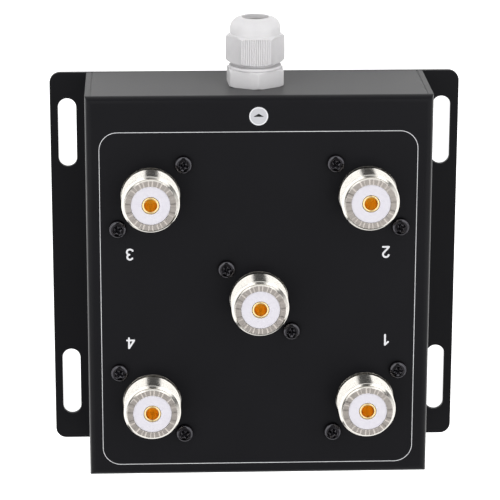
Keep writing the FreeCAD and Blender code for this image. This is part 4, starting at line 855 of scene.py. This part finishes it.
# The flats tool planes six flats on a blank between two heights and runs fine ribs along each of them.
flats_tool, sizes = new_tool("flats_tool", {
    "Across Flats": 10.0, "From": 0.0, "To": 1.0, "Rib Pitch": 1.0, "Rib Depth": 0.0, "Ribs Wide": 1.0,
    "Ribs From": 0.0, "Ribs To": 1.0})
tree = flats_tool
at, parts, radius = about_axis(tree)
off_mid = add(tree, "Math", [parts["Y"], parts["X"]], operation="ARCTAN2")
for does, *by in (("MULTIPLY_ADD", 6 / math.tau, 6.0), ("FRACT",), ("SUBTRACT", 0.5),
                  ("MULTIPLY", math.tau / 6)):
    off_mid = add(tree, "Math", [off_mid, *by], operation=does)
lean = add(tree, "Math", [off_mid], operation="COSINE")
half_flat = add(tree, "Math", [sizes["Across Flats"], 0.5], operation="MULTIPLY")
along = add(tree, "Math", [off_mid], operation="TANGENT")
along = add(tree, "Math", [along, half_flat], operation="MULTIPLY")
wave = along
for does, *by in (("DIVIDE", sizes["Rib Pitch"]), ("MULTIPLY", math.tau), ("COSINE",),
                  ("MULTIPLY_ADD", 0.5, 0.5), ("POWER", 2.0)):
    wave = add(tree, "Math", [wave, *by], operation=does)
edge = add(tree, "Math", [along], operation="ABSOLUTE")
half_wide = add(tree, "Math", [sizes["Ribs Wide"], 0.5], operation="MULTIPLY")
edge = add(tree, "Math", [edge, half_wide], operation="LESS_THAN")
low = add(tree, "Math", [parts["Z"], sizes["Ribs From"]], operation="GREATER_THAN")
high = add(tree, "Math", [parts["Z"], sizes["Ribs To"]], operation="LESS_THAN")
groove = wave
for factor in (sizes["Rib Depth"], edge, low, high):
    groove = add(tree, "Math", [groove, factor], operation="MULTIPLY")
depth = add(tree, "Math", [half_flat, groove], operation="SUBTRACT")
limit = add(tree, "Math", [depth, lean], operation="DIVIDE")
planed = held_within(tree, at, radius, limit)
above = add(tree, "Math", [parts["Z"], sizes["From"]], operation="GREATER_THAN")
under = add(tree, "Math", [parts["Z"], sizes["To"]], operation="LESS_THAN")
within = add(tree, "Math", [above, under], operation="MULTIPLY")
worked = add(tree, "GeometryNodeSetPosition",
             {"Geometry": sizes["Blank"], "Selection": within, "Position": planed})
end_tool(tree, worked, sizes["Finish"])

# Up the tail's core, round the gasket's seat and the hexagon, over the collar, and up to the fingers' foot.
# The hexagon's corners are rounded off by 0.07 mm.
core = GLAND_THREAD / 2 - 0.52
bore = GLAND_BORE / 2
corner = HEX_ACROSS / 2 / math.cos(math.radians(30)) - 0.07
body_outline = [
    (bore, -9.5), (core - 0.3, -9.5), (core, -9.2), (core, 0.6), (7.05, 0.6), (7.05, 0.02),
    (corner - 0.55, 0.02), (corner - 0.15, 0.2, 0.15), (corner, 0.5, 0.15), (corner, 4.1, 0.6),
    (corner - 0.25, 4.45, 0.15),
    (corner - 0.9, HEX_TALL, 0.2), (7.1, HEX_TALL), (7.3, 4.78), (7.35, 4.9), (7.35, 5.3), (7.25, 5.45),
    (7.05, 5.5), (core, 5.5), (core, FINGER_FOOT), (bore, FINGER_FOOT),
]
gland_body = turned("gland_body_finished", body_outline, 360)
for low, high in ((-9.5, 0.1), (5.4, FINGER_FOOT)):
    put_through(gland_body, thread_tool, polyamide, {
        "Crest Radius": GLAND_THREAD / 2, "Depth": 0.5, "Pitch": GLAND_PITCH, "From": low, "To": high,
        "Chamfer": 0.4, "Points per Turn": 72.0})
put_through(gland_body, flats_tool, polyamide, {
    "Across Flats": HEX_ACROSS, "From": 0.0, "To": HEX_TALL - 0.01, "Rib Depth": 0.0})
plain_mesh(gland_body)
gland_body.data.transform(to_wall @ Matrix.Rotation(math.radians(HEX_TURN), 4, "Z") @ Matrix.Scale(MM, 4))
fingers_from = to_wall @ Vector((0, 0, FINGER_FOOT * MM))
join_into(gland_body, eased_copy("gland_body", 0.08, keep=(fingers_from, (-1, 0, 0))))
hand_over(gland_body, polyamide, "housing", "gland_body")

# ---------------------------------------------------------------- cable gland, gasket, locknut and seal
# A flat rubber gasket lies in the hexagon's seat, and a nylon locknut pulls it tight. The rubber seal is a
# sleeve with a flange: the dome nut pushes it into the fingers, which close it on the cable.
# Moulded nitrile rubber: warm grey, dull, with a fine talc bloom.
rubber = even_finish("nitrile_rubber", 0.6, 4.0, "#a5a3a1", "#b9b7b5", 0.72, (0.15, 0.04))


def dress(material, *nodes):
    """Gives a material to nodes that show as their own solids."""
    for node in nodes:
        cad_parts[node].data.materials[0] = material


hand_over(eased_copy("gland_seal", 0.2), rubber, "gland_seal", "gland_seal")
hand_over(eased_copy("gland_locknut", 0.3), polyamide, "housing", "gland_locknut")
dress(rubber, "gland_gasket")

# ---------------------------------------------------------------- cable gland, dome nut
# The dome nut is moulded nylon, with six ribbed flats to grip, a cone above them and a dome round its mouth.
# It runs on the body's upper thread and squeezes the seal and the fingers as it is turned.
DOME_ACROSS = 14.2
DOME_LOW = 6.35
DOME_SHOULDER = 14.2
DOME_CORNER = 8.16
DOME_WAIST = 7.05
DOME_FOOT = 15.8
DOME_ROUND = 3.1
DOME_TOP = 18.9
DOME_TURN = 30.0
RIB_PITCH = 0.62
RIB_DEPTH = 0.34
RIBS_WIDE = 8.06
MOUTH = 7.4
NUT_BORE = 6.25
dome_outline = [
    (NUT_BORE, DOME_LOW + 0.2), (NUT_BORE + 0.2, DOME_LOW), (DOME_WAIST, DOME_LOW),
    (DOME_CORNER - 0.6, DOME_LOW + 0.15, 0.1), (DOME_CORNER - 0.15, DOME_LOW + 0.45, 0.1),
    (DOME_CORNER, DOME_LOW + 0.8, 0.1), (DOME_CORNER, 13.4, 0.35), (DOME_CORNER - 0.12, 13.65, 0.08),
    (7.12, DOME_SHOULDER, 0.06), (6.98, 14.34), (6.96, 14.46), (7.03, 14.6), (DOME_WAIST, 14.9),
    (DOME_WAIST, DOME_FOOT, 0.3),
]
dome_outline += bow((DOME_WAIST - DOME_ROUND, DOME_FOOT), (DOME_ROUND, DOME_ROUND), 6, 90, 14)
dome_outline += [
    (MOUTH / 2 + 0.07, DOME_TOP - 0.04), (MOUTH / 2, DOME_TOP - 0.15), (MOUTH / 2, DOME_TOP - 1.3),
    (4.2, DOME_TOP - 1.3), (NUT_BORE, DOME_TOP - 5.7),
]
dome_nut = turned("gland_dome_nut_finished", dome_outline, 1080)
put_through(dome_nut, flats_tool, polyamide, {
    "Across Flats": DOME_ACROSS, "From": DOME_LOW - 0.1, "To": DOME_SHOULDER, "Rib Pitch": RIB_PITCH,
    "Rib Depth": RIB_DEPTH, "Ribs Wide": RIBS_WIDE, "Ribs From": DOME_LOW - 0.1, "Ribs To": 13.7})
plain_mesh(dome_nut)
dome_nut.data.transform(to_wall @ Matrix.Rotation(math.radians(DOME_TURN), 4, "Z") @ Matrix.Scale(MM, 4))
hand_over(dome_nut, polyamide, "gland_dome_nut", "gland_dome_nut")

# ---------------------------------------------------------------- nuts, spacers and board screws
# Plain zinc plated steel hardware inside the box: nuts on six socket screws, screws into the board's four
# nickelled brass spacers, and clinch nuts pressed into the cover's lips.
# Bright zinc plate: bluish, softly streaked and patchy, duller than nickel.
zinc = even_finish("bright_zinc_steel", 1.5, 3.0, "#a9adb3", "#c6c9cd", (0.28, 0.42), stretch=(1, 1, 6),
                   more={"Metallic": 1.0})
dress(zinc, "clinch_nuts", "socket_nuts", "board_screws")
dress(nickel, "board_spacers")

# ---------------------------------------------------------------- circuit board
# One glass-epoxy board hangs under the panel on the spacers and carries the relays, diodes, capacitors and
# the terminal block. Its holes are drilled for the pins.
# Green solder mask over a glass weave: deep green, glossy, the weave faintly raised in two directions. A wave
# texture repeats every tau / 20 of its own unit, so the scale is that length over the thread spacing.
WAVE_UNIT = math.tau / 20
mask, tree, place = new_finish("green_solder_mask")
warp, weft = (add(tree, "TexWave", {"Vector": place, "Scale": WAVE_UNIT / (0.6 * MM)},
                  out="Fac", bands_direction=way) for way in "XY")
weave = add(tree, "Math", [warp, weft], operation="MAXIMUM")
tone = add(tree, "Mix", {"Factor": weave, "A": colour("#0c3a20"), "B": colour("#12502c")},
           out="Result", data_type="RGBA")
woven = add(tree, "Bump", {"Height": weave, "Strength": 0.12, "Distance": 0.02 * MM})
end_finish(tree, {"Base Color": tone, "Roughness": 0.3, "Normal": woven})
dress(mask, "circuit_board")

# ---------------------------------------------------------------- relays
# Four sealed relays. Each is a moulded base and case round a yoke, core, bobbin and winding, two coil pins
# and two fixed contacts. The armature rocks on the yoke's edge and carries the contact spring.
# Glass filled polyester of the base: dull black, with short pale fibres in it.
moulding, tree, place = new_finish("black_moulding_compound")
fibre = add(tree, "Mapping", {"Vector": place, "Scale": (1.0, 5.0, 1.0)})
fibre = add(tree, "TexVoronoi", {"Vector": fibre, "Scale": 1 / (0.4 * MM)}, out="Distance")
tone = add(tree, "Mix", {"Factor": fibre, "A": colour("#2a2a2a"), "B": colour("#171717")},
           out="Result", data_type="RGBA")
end_finish(tree, {"Base Color": tone, "Roughness": 0.5})
dress(moulding, "relay_bases")

# Case: dark blue thermoplastic, glossy, with the slight waviness of a thin moulded wall.
blue_case = even_finish("blue_relay_case", 4, 2.0, "#20407c", "#294c8c", 0.22, (0.1, 0.1))
dress(blue_case, "relay_cases")

# Soft iron of yoke, core and armature: grey dull plating with rolling lines along the strip.
iron = even_finish("plated_soft_iron", 1.0, 4.0, "#8f9093", "#aeafb1", (0.35, 0.5), stretch=(1, 12, 1),
                   more={"Metallic": 1.0})
dress(iron, "relay_yokes", "relay_cores", *(f"relay_armature_{i}" for i in range(1, 5)))

# Bobbin: white nylon, a little yellow, letting light into its flanges.
bobbin_white = even_finish("white_bobbin_nylon", 2, 2.0, "#e6e4d8", "#f0eee4", 0.45,
                           more={"Subsurface Weight": 0.2, "Subsurface Scale": 0.5 * MM})
dress(bobbin_white, "relay_bobbins")

# Winding: enamelled copper wire in close turns round the upright coil, raised in fine rings. Its tone runs in
# dark and light bands along the rings: painted shade between the turns and a painted highlight on each. The
# wire is 0.12 mm thick; its turns are drawn at 0.25 mm so that they show.
wire, tree, place = new_finish("enamelled_copper_wire")
rings = add(tree, "TexWave", {"Vector": place, "Scale": WAVE_UNIT / (0.25 * MM), "Distortion": 0.6},
            out="Fac", bands_direction="Z")
# The dark bands are painted shade between the turns, the light bands a painted highlight on each.
tone = add(tree, "Mix", {"Factor": rings, "A": colour("#7a3a1c"), "B": colour("#c46a36")},
           out="Result", data_type="RGBA")
wound = add(tree, "Bump", {"Height": rings, "Strength": 0.6, "Distance": 0.05 * MM})
end_finish(tree, {"Base Color": tone, "Metallic": 1.0, "Roughness": 0.3, "Normal": wound, "Coat Weight": 0.4})
dress(wire, "relay_windings")

# Coil pins: dipped in tin, bright and slightly lumpy.
tin = even_finish("tinned_metal", 0.8, 2.0, "#bfc0c1", "#d6d7d8", 0.25, (0.25, 0.05),
                  more={"Metallic": 1.0})
dress(tin, "relay_coil_pins")

# Contact strip: rolled phosphor bronze, warm, with faint lengthwise lines.
bronze = even_finish("phosphor_bronze_strip", 0.8, 3.0, "#b57f52", "#cf9a69", 0.3, stretch=(1, 8, 1),
                     more={"Metallic": 1.0})
dress(bronze, "relay_open_contacts", "relay_closed_contacts", *(f"contact_spring_{i}" for i in range(1, 5)))

# ---------------------------------------------------------------- diodes
# One diode across each relay's coil takes up the kick when it is switched off. It is moulded into the same
# black compound as the relays' bases and soldered to the rear of the board by two flat tabs.
dress(moulding, "diodes")

# ---------------------------------------------------------------- capacitors
# One small chip capacitor for each of the five control wires. It is fired as one ceramic block and soldered
# to the front of the board beside the terminal block.
# Fired ceramic: tan, matt, finely speckled.
ceramic = even_finish("tan_ceramic", 0.15, 2.0, "#a88460", "#c09c76", 0.55)
dress(ceramic, "capacitors")

# ---------------------------------------------------------------- terminal block
# A five way screw terminal block behind the gland takes the control cable: a moulded housing, rising clamps
# dipped in tin, and zinc plated screws.
# Housing: green polyamide, half glossy, faintly mottled where the melt flowed.
green_block = even_finish("green_polyamide", 3, 3.0, "#1c6b3a", "#247d46", (0.28, 0.4))
dress(green_block, "terminal_housing")
dress(tin, "terminal_clamps")
dress(zinc, "terminal_screws")
